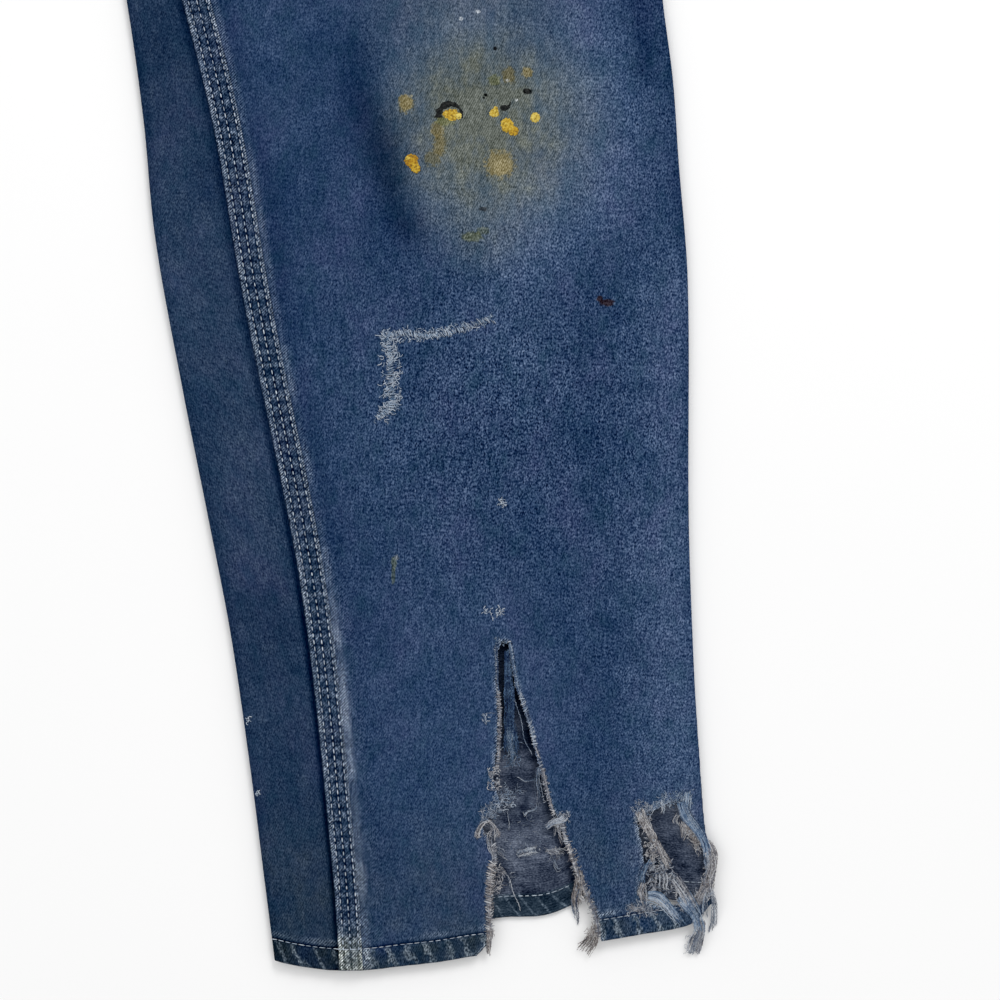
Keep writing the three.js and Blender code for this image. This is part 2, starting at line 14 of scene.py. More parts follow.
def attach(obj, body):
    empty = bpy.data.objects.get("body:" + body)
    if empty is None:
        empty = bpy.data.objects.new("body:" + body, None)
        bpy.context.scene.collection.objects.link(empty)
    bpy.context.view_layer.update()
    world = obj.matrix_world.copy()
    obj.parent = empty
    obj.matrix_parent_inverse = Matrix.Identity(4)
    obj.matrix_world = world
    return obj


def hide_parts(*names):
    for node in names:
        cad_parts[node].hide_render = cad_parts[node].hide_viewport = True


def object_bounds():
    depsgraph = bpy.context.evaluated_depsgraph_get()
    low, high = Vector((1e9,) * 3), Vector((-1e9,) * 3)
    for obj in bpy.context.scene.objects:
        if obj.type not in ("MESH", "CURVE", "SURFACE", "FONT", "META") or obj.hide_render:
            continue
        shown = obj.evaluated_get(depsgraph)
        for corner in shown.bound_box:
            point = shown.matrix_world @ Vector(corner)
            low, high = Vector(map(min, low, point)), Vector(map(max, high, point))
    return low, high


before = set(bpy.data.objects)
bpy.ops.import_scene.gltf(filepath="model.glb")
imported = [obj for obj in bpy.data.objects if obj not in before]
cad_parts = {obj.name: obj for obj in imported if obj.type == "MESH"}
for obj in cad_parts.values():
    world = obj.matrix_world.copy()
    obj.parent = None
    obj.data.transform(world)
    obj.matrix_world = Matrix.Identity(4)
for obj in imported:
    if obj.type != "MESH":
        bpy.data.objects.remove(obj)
CAD_BOX = [list(corner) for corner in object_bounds()]

# ---- Driving sizes of the cut, in millimetres ----
DENIM = 1.1
BAND = 2.2
WEBBING = 2.0
LAYERS_APART = 3.7
SEAM_GAP = 0.3
CROWN = 1.2
CROTCH = 815
WAIST = 1088
WAISTBAND = 40
BIB_TOP = 1400
BACK_TOP = 1420
STRAP_TOP = 1565
STRAP_X = 90
STRAP_WIDTH = 38
HEM = 12.5
HEM_FADE = 170
JOINT_IN_FELL = 4
FELL_END = 785

# Outlines, as (height, distance from the centre line).
INNER_FOLD = [(0, 140.5), (40, 135.5), (110, 127), (180, 117), (245, 104.5), (310, 91.5), (395, 76),
              (460, 69.5), (524, 60.5), (670, 35), (CROTCH, 0.4)]
OUTER_FOLD = [(0, 377.5), (20, 376), (60, 372.5), (100, 370.5), (170, 367), (245, 364.5), (372, 364),
              (438, 359), (481, 356), (524, 350.5), (650, 338), (800, 322), (900, 303), (1000, 277),
              (WAIST, 258), (1130, 254)]
INSEAM = [(0, 176), (56, 172), (207, 155), (363, 124), (455, 108), (520, 92), (670, 50), (CROTCH, 4)]
FELL_WIDTH = [(0, 12.5), (400, 14.5), (700, 14), (CROTCH, 7)]
OUTSEAM_FROM_FOLD = [(0, -42), (150, -42), (440, -20), (540, -20), (830, 20), (1130, 20)]
BIB_SIDE = [(1128, 166), (1170, 150), (1240, 133), (1320, 123), (BIB_TOP, 118)]
BACK_SIDE = [(1128, 246), (1165, 212), (1215, 172), (1285, 138), (1360, 120), (BACK_TOP, 114)]
# How far the worn hem has ridden up, as (distance from the centre line, rise).
HEM_UPPER = [(141, 5.5), (152, 3), (171, 0.5), (190, 0.5), (208, 2.5), (230, 5), (248, 8), (316, 16),
             (340, 20), (360, 23.5), (368, 27), (376, 36)]
HEM_LOWER = [(141, 5.5), (200, 18), (262, 28.3), (286, 29.6), (301, 35), (312, 41), (330, 43), (360, 37),
             (376, 36)]
# What is missing at the two tears.
LONG_TEAR = [(263.5, 178.5), (261.4, 173), (260.8, 152), (261.9, 141), (261.4, 125), (259.7, 114),
             (258.7, 103), (261.4, 95), (262.4, 89), (256, 82.5), (252.7, 77), (259.7, 65), (260.8, 59),
             (257, 52), (256, 38), (256.5, 22), (256, 15), (250, 8.5), (248, -20), (322, -20), (317, 15.5),
             (316.4, 23), (313, 34), (307, 44), (302.4, 55.5), (298, 67.5), (294, 81.5), (289, 91),
             (284, 107.5), (280.8, 122), (276.5, 137.5), (272, 152), (269, 165), (267.3, 177.5)]
CORNER_TEAR = [(336, 85), (344.5, 86), (351, 90), (357, 91.5), (362, 92), (365, 84), (369, 73.5), (372, 64),
               (373, 54.5), (372.5, 46.5), (371, 40.5), (367.5, 35), (363, 39), (357.5, 35.5), (351, 34),
               (343.5, 36.5), (338.5, 42), (338, 49), (340.5, 57), (339.5, 65), (337.5, 75)]

MM = 0.001
Y_SHIFT = CAD_BOX[1][1] / MM - STRAP_TOP


def place(points):
    """Garment millimetres to the frame's metres."""
    return (np.asarray(points, float) + (0, Y_SHIFT, 0)) * MM


# ---- Curves and noise ----
def smooth(points):
    """A smooth function through (x, y) points: cubic between neighbours, level outside them."""
    xs, ys = np.array(points, float).T
    before = np.maximum(np.arange(len(xs)) - 1, 0)
    after = np.minimum(np.arange(len(xs)) + 1, len(xs) - 1)
    slopes = (ys[after] - ys[before]) / (xs[after] - xs[before])

    def curve(x):
        x = np.clip(x, xs[0], xs[-1])
        i = np.clip(np.searchsorted(xs, x, side="right") - 1, 0, len(xs) - 2)
        width = xs[i + 1] - xs[i]
        t = (x - xs[i]) / width
        return ((2 * t**3 - 3 * t**2 + 1) * ys[i] + (t**3 - 2 * t**2 + t) * width * slopes[i]
                + (3 * t**2 - 2 * t**3) * ys[i + 1] + (t**3 - t**2) * width * slopes[i + 1])
    return curve


inner_fold, outer_fold, inseam, fell_width = map(smooth, (INNER_FOLD, OUTER_FOLD, INSEAM, FELL_WIDTH))
outseam_from_fold, hem_upper, hem_lower = map(smooth, (OUTSEAM_FROM_FOLD, HEM_UPPER, HEM_LOWER))
bib_side, back_side = map(smooth, (BIB_SIDE, BACK_SIDE))


def ease(t):
    t = np.clip(t, 0, 1)
    return t * t * (3 - 2 * t)


def bell(distance, width):
    return np.exp(-(np.asarray(distance) / width) ** 2)


NOISE_VALUES = 1024  # a power of two, so that a mask of bits picks one
NOISE_STRIDES = (73856093, 19349663)  # large odd numbers that scatter the lattice over the values


def cloud(x, y, size, seed):
    """Smooth noise from -1 to 1, with lumps of about the given size."""
    table = np.random.default_rng(seed).uniform(-1, 1, NOISE_VALUES)
    gx, gy = np.asarray(x) / size, np.asarray(y) / size
    ix, iy = np.floor(gx).astype(np.int64), np.floor(gy).astype(np.int64)
    fx, fy = ease(gx - ix), ease(gy - iy)

    def corner(dx, dy):
        return table[((ix + dx) * NOISE_STRIDES[0] ^ (iy + dy) * NOISE_STRIDES[1]) & (NOISE_VALUES - 1)]
    low = corner(0, 0) * (1 - fx) + corner(1, 0) * fx
    high = corner(0, 1) * (1 - fx) + corner(1, 1) * fx
    return low * (1 - fy) + high * fy


def clouds(x, y, size, seed):
    return (cloud(x, y, size, seed) + 0.5 * cloud(x, y, size / 2.1, seed + 1)
            + 0.25 * cloud(x, y, size / 4.3, seed + 2)) / 1.5


def from_line(x, y, start, end):
    """How far points are from a straight line, and where along it, from 0 to 1."""
    (x0, y0), (x1, y1) = start, end
    length = math.hypot(x1 - x0, y1 - y0)
    along = ((x - x0) * (x1 - x0) + (y - y0) * (y1 - y0)) / length**2
    held = np.clip(along, 0, 1)
    return np.hypot(x - x0 - held * (x1 - x0), y - y0 - held * (y1 - y0)), along


def from_path(x, y, path):
    """The least distance of points from a path."""
    return np.min([from_line(x, y, a, b)[0] for a, b in zip(path, path[1:])], axis=0)


def inside(x, y, outline):
    """Which points are inside a closed outline."""
    within = np.zeros(np.shape(x), bool)
    for (x0, y0), (x1, y1) in zip(outline, outline[1:] + outline[:1]):
        crosses = (y0 > y) != (y1 > y)
        if y0 != y1:
            within ^= crosses & (x < (x1 - x0) * (y - y0) / (y1 - y0) + x0)
    return within


# ---- The flattened tube that the trousers' panels are parts of ----
FOLD_RADIUS = LAYERS_APART / 2
FOLD_LENGTH = math.pi * FOLD_RADIUS
CROWN_FADES = ((60, 200), 120)  # it grows over 200 from 60 above the hem, and dies away over 120 to the waist


def hem_rise(x, y, up):
    return np.where(up > 0, hem_upper(x), hem_lower(x)) * (1 - ease(y / HEM_FADE))


def crown(x, y):
    inner = np.where(y < CROTCH, inner_fold(y), -outer_fold(y))
    across = np.clip((x - inner) / (outer_fold(y) - inner), 0, 1)
    (low, growing), ending = CROWN_FADES
    return CROWN * np.sin(math.pi * across) * ease((y - low) / growing) * ease((WAIST - y) / ending)


class Round:
    """The tube's round at heights y, from the inner fold's middle, or the centre line above the crotch."""

    def __init__(self, y, wall=DENIM):
        self.y, self.wall = np.asarray(y, float), wall
        leg = self.y < CROTCH
        self.outer = outer_fold(self.y) - FOLD_RADIUS - wall / 2
        self.inner = np.where(leg, inner_fold(self.y) + FOLD_RADIUS + wall / 2, SEAM_GAP / 2)
        self.half_fold = np.where(leg, FOLD_LENGTH / 2, 0)
        self.outer_start = self.half_fold + self.outer - self.inner
        self.lower_start = self.outer_start + FOLD_LENGTH
        self.inner_start = self.lower_start + self.outer - self.inner
        self.total = self.inner_start + self.half_fold
        to_crotch = 1 - ease((self.y - FELL_END) / (CROTCH - 3 - FELL_END))
        joint = (self.half_fold + inseam(self.y) + JOINT_IN_FELL - self.inner) * to_crotch
        self.inseam_joint = np.where(leg, joint, 0)
        self.outseam = self.outer_start + FOLD_LENGTH / 2 - outseam_from_fold(self.y)

    def at(self, place_on_round):
        """Points of the wall's middle, and the way out of the cloth there."""
        q = np.where(place_on_round > self.total, place_on_round - self.total, place_on_round)
        stretch = [q < self.half_fold, q <= self.outer_start, q < self.lower_start, q <= self.inner_start]
        angle = np.select(stretch, [math.pi / 2 + q / FOLD_RADIUS, math.pi + 0 * q,
                                    math.pi - (q - self.outer_start) / FOLD_RADIUS, 0 * q],
                          (q - self.inner_start) / FOLD_RADIUS)
        flat_x = np.select(stretch, [self.inner + 0 * q, self.inner + q - self.half_fold, self.outer + 0 * q,
                                     self.outer - (q - self.lower_start)], self.inner + 0 * q)
        side = np.where((q > self.outer_start) & (q < self.lower_start), 1, -1)
        out, up = side * np.sin(angle), -np.cos(angle)
        x = flat_x + FOLD_RADIUS * out
        y = self.y + hem_rise(x, self.y, up)
        z = self.wall / 2 + FOLD_RADIUS * (1 + up) + np.where(up > 0.999, crown(x, self.y), 0)
        return np.stack([x, y, z], -1), np.stack([out, 0 * out, up], -1)

    def on_upper(self, x):
        """The place on the round of a point x of the upper layer."""
        return self.half_fold + x - self.inner


LEAST = 0.25  # the closest that two places on the round may be


def stations(start, end, evenly, corners):
    """Places along a stretch of the round: even ones, and the corners of folds, kept within the stretch."""
    corners = np.asarray(corners, float)
    step = np.arange(len(corners))
    low = start + LEAST * (step + 1) + 0.03
    high = end - LEAST * (len(corners) - step) - 0.04
    held = np.minimum(np.maximum(corners, low), high)
    return np.sort(np.concatenate([np.linspace(start, end, evenly + 1), held]))


FOLD_CORNERS = 9


def fold_corners(start):
    return start + np.linspace(0, FOLD_LENGTH, FOLD_CORNERS)


def rows_between(*stretches):
    """Heights from (start, end, step) stretches that follow each other."""
    rows = [np.linspace(a, b, max(round((b - a) / step), 1), endpoint=False) for a, b, step in stretches]
    return np.concatenate(rows + [[stretches[-1][1]]])


# ---- Cloth as a thin closed shell ----
class Cloth:
    """A sheet of points with the way out of the cloth at each, and the triangles between them."""

    def __init__(self, points, out, grain, triangles, **masks):
        self.points, self.out = np.asarray(points, float), np.asarray(out, float)
        self.grain, self.triangles = np.asarray(grain, float), np.asarray(triangles, int)
        self.masks = masks

    @property
    def x(self):
        return self.points[:, 0]

    @property
    def y(self):
        return self.points[:, 1]

    @property
    def upper(self):
        return self.out[:, 2] > 0.99

    def on(self, side):
        """The piece on its side. The grain isn't mirrored, so the twill leans the same way on both."""
        if side == "left":
            return self
        flip = np.array([-1, 1, 1])
        masks = {name: mask.copy() for name, mask in self.masks.items()}
        return Cloth(self.points * flip, self.out * flip, self.grain * (-1, 1), self.triangles[:, ::-1],
                     **masks)

    def shell(self, name, outside, within, relief, thick=DENIM, inward=0.0):
        """A closed shell: outer face raised by relief, inner face by inward, and a rim round every edge."""
        count = len(self.points)
        relief, inward = (np.broadcast_to(amount, count)[:, None] for amount in (relief, inward))
        outer = self.points + self.out * (thick / 2 + relief)
        inner = self.points - self.out * (thick / 2 + inward)
        tri = self.triangles
        directed = np.concatenate([tri[:, [0, 1]], tri[:, [1, 2]], tri[:, [2, 0]]])
        key = np.sort(directed, axis=1)
        _, first, uses = np.unique(key[:, 0] * count + key[:, 1], return_index=True, return_counts=True)
        edge = directed[first[uses == 1]]
        a, b = edge[:, 0], edge[:, 1]
        rim = np.concatenate([np.stack([b, a, a + count], 1), np.stack([b, a + count, b + count], 1)])
        faces = np.concatenate([tri, tri[:, ::-1] + count, rim])
        part = np.concatenate([np.zeros(len(tri), int), np.ones(len(tri), int), np.zeros(len(rim), int)])
        masks = {key: np.concatenate([mask, mask]) for key, mask in self.masks.items()}
        grain = np.concatenate([self.grain, self.grain])
        return make_mesh(name, np.concatenate([outer, inner]), faces, [outside, within], masks, part, grain)


def make_mesh(name, points, faces, materials, masks, part=None, grain=None):
    """A mesh object from garment points, with its grain as the UV map and its masks as attributes."""
    mesh = bpy.data.meshes.new(name)
    faces = np.asarray(faces, np.int32)
    mesh.vertices.add(len(points))
    mesh.vertices.foreach_set("co", place(points).astype(np.float32).ravel())
    mesh.loops.add(faces.size)
    mesh.loops.foreach_set("vertex_index", faces.ravel())
    mesh.polygons.add(len(faces))
    mesh.polygons.foreach_set("loop_start", np.arange(len(faces), dtype=np.int32) * faces.shape[1])
    mesh.update(calc_edges=True)
    mesh.polygons.foreach_set("use_smooth", np.full(len(faces), True))
    for material in materials:
        mesh.materials.append(material)
    if part is not None:
        mesh.polygons.foreach_set("material_index", np.asarray(part, np.int32))
    if grain is not None:
        layer = mesh.uv_layers.new(name="grain")
        layer.data.foreach_set("uv", (np.asarray(grain) * MM).astype(np.float32)[faces.ravel()].ravel())
    for key, mask in masks.items():
        mesh.attributes.new(key, "FLOAT", "POINT").data.foreach_set("value", np.asarray(mask, np.float32))
    mesh.validate()
    piece = bpy.data.objects.new(name, mesh)
    bpy.context.scene.collection.objects.link(piece)
    return piece


def grid_triangles(rows, columns):
    r, c = np.meshgrid(np.arange(rows - 1), np.arange(columns - 1), indexing="ij")
    a = (r * columns + c).ravel()
    b, d = a + 1, a + columns
    e = d + 1
    return np.concatenate([np.stack([a, b, e], 1), np.stack([a, e, d], 1)])


# ---- Trouser panels ----
GRAIN_LEAN = 0.05  # the grain's lean from straight up, along the leg's own middle


def leaned(u, v):
    return np.stack([u - GRAIN_LEAN * v, v + GRAIN_LEAN * u], -1)


def panel_cloth(places, heights, triangles):
    """Cloth at places on the round and heights, which are flat arrays of one length."""
    ring = Round(heights)
    points, out = ring.at(places)
    grain = leaned(ring.outer + places - ring.outer_start, heights)
    return Cloth(points, out, grain, triangles)


def panel_grid(heights, first, last, corners_of, step):
    """Places and heights of a panel's grid, row by row."""
    ring = Round(heights)
    start, end = first(ring), last(ring)
    evenly = round(float(np.max(end - start)) / step)
    places = np.array([stations(start[i], end[i], evenly, corners_of(ring, i)) for i in range(len(heights))])
    return places, np.repeat(heights[:, None], places.shape[1], 1)


def front_corners(ring, i):
    return fold_corners(ring.outer_start[i])


def back_corners(ring, i):
    return np.concatenate([fold_corners(ring.outer_start[i]), fold_corners(ring.inner_start[i])])


def whole_front(heights, step):
    places, rows = panel_grid(heights, lambda r: r.inseam_joint, lambda r: r.outseam, front_corners, step)
    return panel_cloth(places.ravel(), rows.ravel(), grid_triangles(*places.shape))


def whole_back(heights, step):
    def end(ring):
        at_crotch = np.where(ring.y > FELL_END, 4, 1)
        return ring.total + ring.inseam_joint - np.where(ring.y < CROTCH, SEAM_GAP * at_crotch, 0)
    places, rows = panel_grid(heights, lambda r: r.outseam + SEAM_GAP, end, back_corners, step)
    return panel_cloth(places.ravel(), rows.ravel(), grid_triangles(*places.shape))


def height_under(x, y, up=1):
    """The panel's own height of a point of the upper layer, or the lower one, below the hem's rise."""
    height = np.asarray(y, float)
    for _ in range(30):
        height = y - hem_rise(x, height, up)
    return height


def ragged(outline, step, jitter, seed):
    """An outline in short steps, each corner moved a little."""
    rng = np.random.default_rng(seed)
    points = []
    for (x0, y0), (x1, y1) in zip(outline, outline[1:] + outline[:1]):
        count = max(round(math.hypot(x1 - x0, y1 - y0) / step), 1)
        for i in range(count):
            t = i / count
            points.append((x0 + t * (x1 - x0) + rng.normal(0, jitter),
                           y0 + t * (y1 - y0) + rng.normal(0, jitter)))
    return points


TEAR_REGION = 205  # the torn rows end at this height
TORN_STEP, TORN_JITTER = 1.0, 0.28  # the raggedness of a torn edge
TORN_MARGIN = 0.7  # the grid's points stay this far from a torn edge
TEAR_CURL, CURL_WIDTH = 0.5, 3.0  # how high a torn edge curls up, and over what width


def torn_front(heights, step):
    """The front panel with the tears cut out: triangles between the grid's points and the tears' outlines."""
    places, rows = panel_grid(heights, lambda r: r.inseam_joint, lambda r: r.outseam, front_corners, step)
    columns = places.shape[1]
    torn_rows = int(np.searchsorted(heights, TEAR_REGION)) + 1
    q, y = places[:torn_rows].ravel(), rows[:torn_rows].ravel()
    outlines = []
    for seed, tear in enumerate((LONG_TEAR, CORNER_TEAR)):
        edge = np.array(ragged(tear, TORN_STEP, TORN_JITTER, seed + 5))
        height = height_under(edge[:, 0], edge[:, 1])
        outlines.append(list(zip(Round(height).on_upper(edge[:, 0]), height)))
    border = np.zeros((torn_rows, columns), bool)
    border[0], border[-1], border[:, 0], border[:, -1] = True, True, True, True
    near = np.zeros(len(q), bool)
    for outline in outlines:
        box = np.array(outline)
        close = np.where((q > box[:, 0].min() - 3) & (q < box[:, 0].max() + 3) & (y < box[:, 1].max() + 3))[0]
        away = from_path(q[close], y[close], outline + outline[:1])
        near[close] |= (away < TORN_MARGIN) | inside(q[close], y[close], outline)
    kept = np.where(~near | border.ravel())[0]
    number = {int(k): i for i, k in enumerate(kept)}
    rim = [r * columns for r in range(torn_rows)]
    ring = list(range(columns)) + [r * columns + columns - 1 for r in range(1, torn_rows)]
    ring += [(torn_rows - 1) * columns + c for c in range(columns - 2, -1, -1)] + rim[-2:0:-1]
    edges = [(number[a], number[b]) for a, b in zip(ring, ring[1:] + ring[:1])]
    corners = [(float(q[k]), float(y[k])) for k in kept]
    for outline in outlines:
        base = len(corners)
        corners += outline
        edges += [(base + i, base + (i + 1) % len(outline)) for i in range(len(outline))]
    given = [Vector(corner) for corner in corners]
    found, _, faces, origins, _, _ = geometry.delaunay_2d_cdt(given, edges, [], 0, 1e-5)
    found = np.array([tuple(v) for v in found])
    triangles = np.array(faces)
    middle = found[triangles].mean(1)
    ring_there = Round(middle[:, 1])
    keep = (middle[:, 0] > ring_there.inseam_joint - 0.05) & (middle[:, 0] < ring_there.outseam + 0.05)
    keep &= middle[:, 1] > 0
    for outline in outlines:
        keep &= ~inside(middle[:, 0], middle[:, 1], outline)
    triangles = triangles[keep]
    # The grid above the torn rows shares the last torn row's points.
    shared = {}
    for i, origin in enumerate(origins):
        for k in origin:
            if k < len(kept):
                shared[int(kept[k])] = i
    above_q, above_y = places[torn_rows:].ravel(), rows[torn_rows:].ravel()
    last_row = [shared[(torn_rows - 1) * columns + c] for c in range(columns)]
    index = np.concatenate([last_row, len(found) + np.arange(len(above_q))])
    above = index[grid_triangles(len(heights) - torn_rows + 1, columns)]
    all_q = np.concatenate([found[:, 0], above_q])
    all_y = np.concatenate([found[:, 1], above_y])
    all_triangles = np.concatenate([triangles, above])
    used = np.unique(all_triangles)
    renumber = np.zeros(len(all_q), int)
    renumber[used] = np.arange(len(used))
    return panel_cloth(all_q[used], all_y[used], renumber[all_triangles])


# ---- Creases and raised places ----
# Soft ridges (+) and troughs (-) in the upper layer: (start, end, half width, height).
CREASES = {"left": [
    ((302, 540), (292, 300), 20, 0.7), ((222, 310), (246, 90), 17, -0.55), ((334, 340), (322, 140), 15, 0.55),
    ((178, 420), (212, 335), 11, 0.5), ((272, 250), (300, 120), 13, 0.45), ((150, 250), (158, 90), 8, -0.4),
    ((60, 800), (190, 705), 15, 1.9), ((44, 770), (140, 640), 11, 1.3), ((22, 842), (160, 885), 13, 1.7),
    ((90, 840), (200, 800), 12, -0.9), ((205, 1050), (150, 925), 17, 1.3), ((296, 870), (225, 780), 13, 1.4),
    ((110, 570), (250, 604), 18, 1.0), ((310, 700), (235, 640), 14, 1.1), ((75, 1065), (60, 950), 12, -0.8),
], "right": [
    ((300, 420), (230, 380), 15, 1.2), ((120, 400), (215, 360), 13, 1.0), ((322, 320), (240, 335), 17, -0.8),
    ((225, 300), (250, 80), 18, -0.5), ((310, 240), (322, 60), 14, 0.8), ((60, 800), (175, 690), 16, 2.0),
    ((34, 760), (150, 655), 11, -0.8), ((20, 838), (180, 900), 15, 1.5), ((200, 1040), (165, 930), 15, 1.2),
    ((298, 850), (215, 790), 14, 1.5), ((130, 540), (255, 590), 17, 1.1), ((312, 640), (240, 700), 13, -0.9),
]}
BACK_CREASES = [((120, 410), (300, 380), 16, 1.0), ((110, 350), (320, 365), 14, 0.8),
                ((40, 790), (200, 730), 16, 1.2), ((30, 850), (230, 900), 18, 1.0),
                ((240, 620), (330, 560), 14, 0.9), ((200, 260), (260, 60), 15, 0.6)]
BIB_CREASES = [((88, 1375), (60, 1230), 14, 1.3), ((-88, 1375), (-48, 1240), 13, 1.2),
               ((-20, 1330), (10, 1180), 18, -0.6), ((120, 1190), (40, 1160), 12, 1.1),
               ((-130, 1175), (-50, 1150), 11, 1.0), ((30, 1390), (20, 1290), 11, 0.8)]


def creases(x, y, folds):
    """How far creases lift the cloth at points."""
    lift = np.zeros(np.shape(x))
    for start, end, width, height in folds:
        away, along = from_line(x, y, start, end)
        lift += height * bell(away, width) * ease(along * 3 + 0.4) * ease((1 - along) * 3 + 0.4)
    return lift


def tear_curl(x, y):
    """The torn edges curl up a little."""
    lift = np.zeros(np.shape(x))
    near = y < TEAR_REGION
    for tear in (LONG_TEAR, CORNER_TEAR):
        away = from_path(x[near], y[near], tear + tear[:1])
        lift[near] += TEAR_CURL * np.exp(-away / CURL_WIDTH)
    return lift


FELL_RIDGE = 4.2  # width of the worn ridge beside a felled seam
HEM_STITCH = 11.6  # height of the hem's row of stitches


def hem_rope(x, height):
    """The phase of the twisted puckers of a hem: one turn for each pucker, leaning to the left."""
    return math.tau * (x / 10.4 + height / 30 + 0.4 * cloud(x, height, 17, 3))


def hem_relief(x, height):
    """How far the hem's outer face stands above one layer of cloth, with its puckers."""
    hem = 0.9 * (1 - ease((height - 10.2) / 2.6))
    rope = np.sin(hem_rope(x, height))
    hem += 0.42 * rope * (1 - ease((height - 8.5) / 3)) * ease((height + 4) / 6)
    hem += 0.25 * rope * bell(height - 15.5, 4.5) * (height > 12)
    return hem - 0.55 * bell(height - HEM_STITCH, 0.9)


def front_relief(x, height):
    """The hem, and the ridge and the gutter by the inseam."""
    edge = inseam(height) + fell_width(height)
    from_edge = x - edge
    ridge = 0.55 * bell(from_edge - 1.6, FELL_RIDGE / 2) * (1 + 0.35 * cloud(x, height, 5, 8))
    gutter = -0.35 * bell(from_edge + fell_width(height) + 1.2, 1.4)
    return hem_relief(x, height) + (ridge + gutter) * (height < FELL_END + 10)


def front_lift(x, y, height, side, torn):
    lift = creases(x, y, CREASES[side]) * ease(height / 90)
    lift = np.maximum(lift, -1.2) + 0.25 * clouds(x, y, 38, 21) * ease(height / 60)
    return lift + (tear_curl(x, y) if torn else 0)


def front_face(x, y, side="left", torn=True):
    """Height of the upper layer's outer face, for what lies on it."""
    x, y = np.atleast_1d(np.asarray(x, float)), np.atleast_1d(np.asarray(y, float))
    height = height_under(x, y)
    return (DENIM + LAYERS_APART + crown(x, height) + front_lift(x, y, height, side, torn)
            + front_relief(x, height))


# ---- How light the cloth is, where it is soiled and rubbed, and where shade is painted ----
MEAN_TONE = 0.27  # how light plain denim looks, from 0 to 1 as the eye sees it
KNEE = (257, 452)
# A darker rim left of the worn knee, part dirt and part painted shade.
KNEE_RIM = [(185, 500), (187, 478), (193, 457), (200, 441), (202, 427), (206, 412), (213, 400)]
# Where the worn leg was washed unevenly: (x, y, size, how much lighter).
WASHED = [(150, 454, 60, -0.013), (284, 404, 28, 0.02), (329, 500, 30, 0.01), (262, 448, 24, -0.03)]


def wear_and_shade_masks(cloth, height, worn_knee):
    """The masks that the denim's finish reads: its tone, which holds painted shade by the seams, folds and
    creases, and how soiled and how rubbed it is.
    """
    x, y = cloth.x, cloth.y
    edge, edge_in = inseam(height), inseam(height) + fell_width(height)
    small = clouds(x, y, 13, 41)
    tone = MEAN_TONE + 0.022 * clouds(x, y, 46, 31) + 0.012 * small
    tone += 0.04 * ease((x - 310) / 45) * ease((420 - y) / 60) + 0.02 * bell(np.hypot(x - 262, y - 345), 40)
    tone -= 0.05 * (1 - ease((x - edge_in) / 22)) - 0.008 * (x < edge)
    tone += 0.024 * (x < edge) * bell(y - 346, 90)
    # Painted shade: darker within a few millimetres of the outer and inner folds.
    tone -= 0.045 * bell(outer_fold(height) - x, 4) + 0.035 * bell(x - inner_fold(height), 4)
    soiled = 0.09 + 0.13 * (x < edge) + 0.22 * (1 - ease((height - 25) / 90)) * (0.6 + 0.5 * small)
    down = np.where(y < KNEE[1], (KNEE[1] - y) / 90, (y - KNEE[1]) / 165)
    across = (x - KNEE[0]) / np.where(x < KNEE[0], 78, 100)
    away = np.hypot(across, down) + 0.07 * clouds(x, y, 30, 51)
    knee = 1 - ease((away - 0.25) / 0.8)
    if worn_knee:
        for at_x, at_y, size, lighter in WASHED:
            tone += lighter * bell(np.hypot(x - at_x, y - at_y), size)
        # The rim darkens the tone: part dirt, part painted shade.
        rim = bell(from_path(x, y, KNEE_RIM), 11.5) * bell(y - 438, 62)
        tone += 0.122 * knee - 0.125 * rim * (1 + 0.35 * small)
        tone -= 0.045 * bell(np.hypot(x - 278, (y - 514) * 1.3), 40)
        # Painted shade of a fold that runs up at the upper right.
        tone -= 0.085 * bell(from_line(x, y, (337, 545), (341, 486))[0], 7)
        low = np.where(y < 460, 54, 48)
        wide = np.where(x < 252, 46, 50)
        away = ((x - 252) / wide) ** 2 + ((y - 460) / low) ** 2
        oily = np.clip(1.15 * np.exp(-away), 0, 1) * (1 + 0.2 * small)
        above = 0.4 * ease((y - 465) / 30) * (1 - ease((y - 540) / 150)) * bell(x - 246, 58)
        soiled = np.maximum(soiled, np.maximum(oily, above))
        soiled += 0.16 * bell(np.hypot(x - 252, y - 394), 18)
    else:
        tone += 0.075 * knee
        soiled += 0.15 * knee
    rubbed = 0.62 + 0.38 * ease((270 - height) / 60)
    rubbed *= bell(x - edge_in - 1.8, 2.6) * (0.75 + 0.5 * cloud(x, y, 9, 61))
    rubbed += 0.2 * ease((240 - height) / 60) * bell(x - edge_in - 7, 5) * (0.6 + 0.6 * cloud(x, y, 9, 62))
    # Painted shadow: a dark line just left of the fell's raised edge.
    tone -= 0.15 * bell(x - edge + 1.0, 1.5)
    hem = 1 - ease((height - 10.4) / 1.2)
    rubbed += 0.6 * bell(height - 14.6, 1.6) * (0.5 + 0.7 * cloud(x, y, 7, 71))
    # Painted shade: a dark line along the groove of the hem's row of stitches.
    tone -= 0.17 * bell(height - HEM_STITCH - 0.5, 0.8)
    soiled = soiled + 0.25 * hem * (0.6 + 0.6 * small)
    if worn_knee:
        for tear in (LONG_TEAR, CORNER_TEAR):
            near = y < TEAR_REGION
            rubbed[near] += 0.8 * np.exp(-(from_path(x[near], y[near], tear + tear[:1]) / 1.3) ** 2)
    front = cloth.upper | (cloth.out[:, 2] > -0.5)
    speckled = 0.64 + 0.62 * bell(np.hypot((x - 255) / 75, (y - 300) / 95), 1) + 0.25 * bell(x - 345, 40)
    return {"tone": tone, "speckled": speckled, "soiled": np.clip(np.where(front, soiled, 0.1), 0, 1),
            "rubbed": np.clip(np.where(front, rubbed, 0.15), 0, 1), "hem": hem}


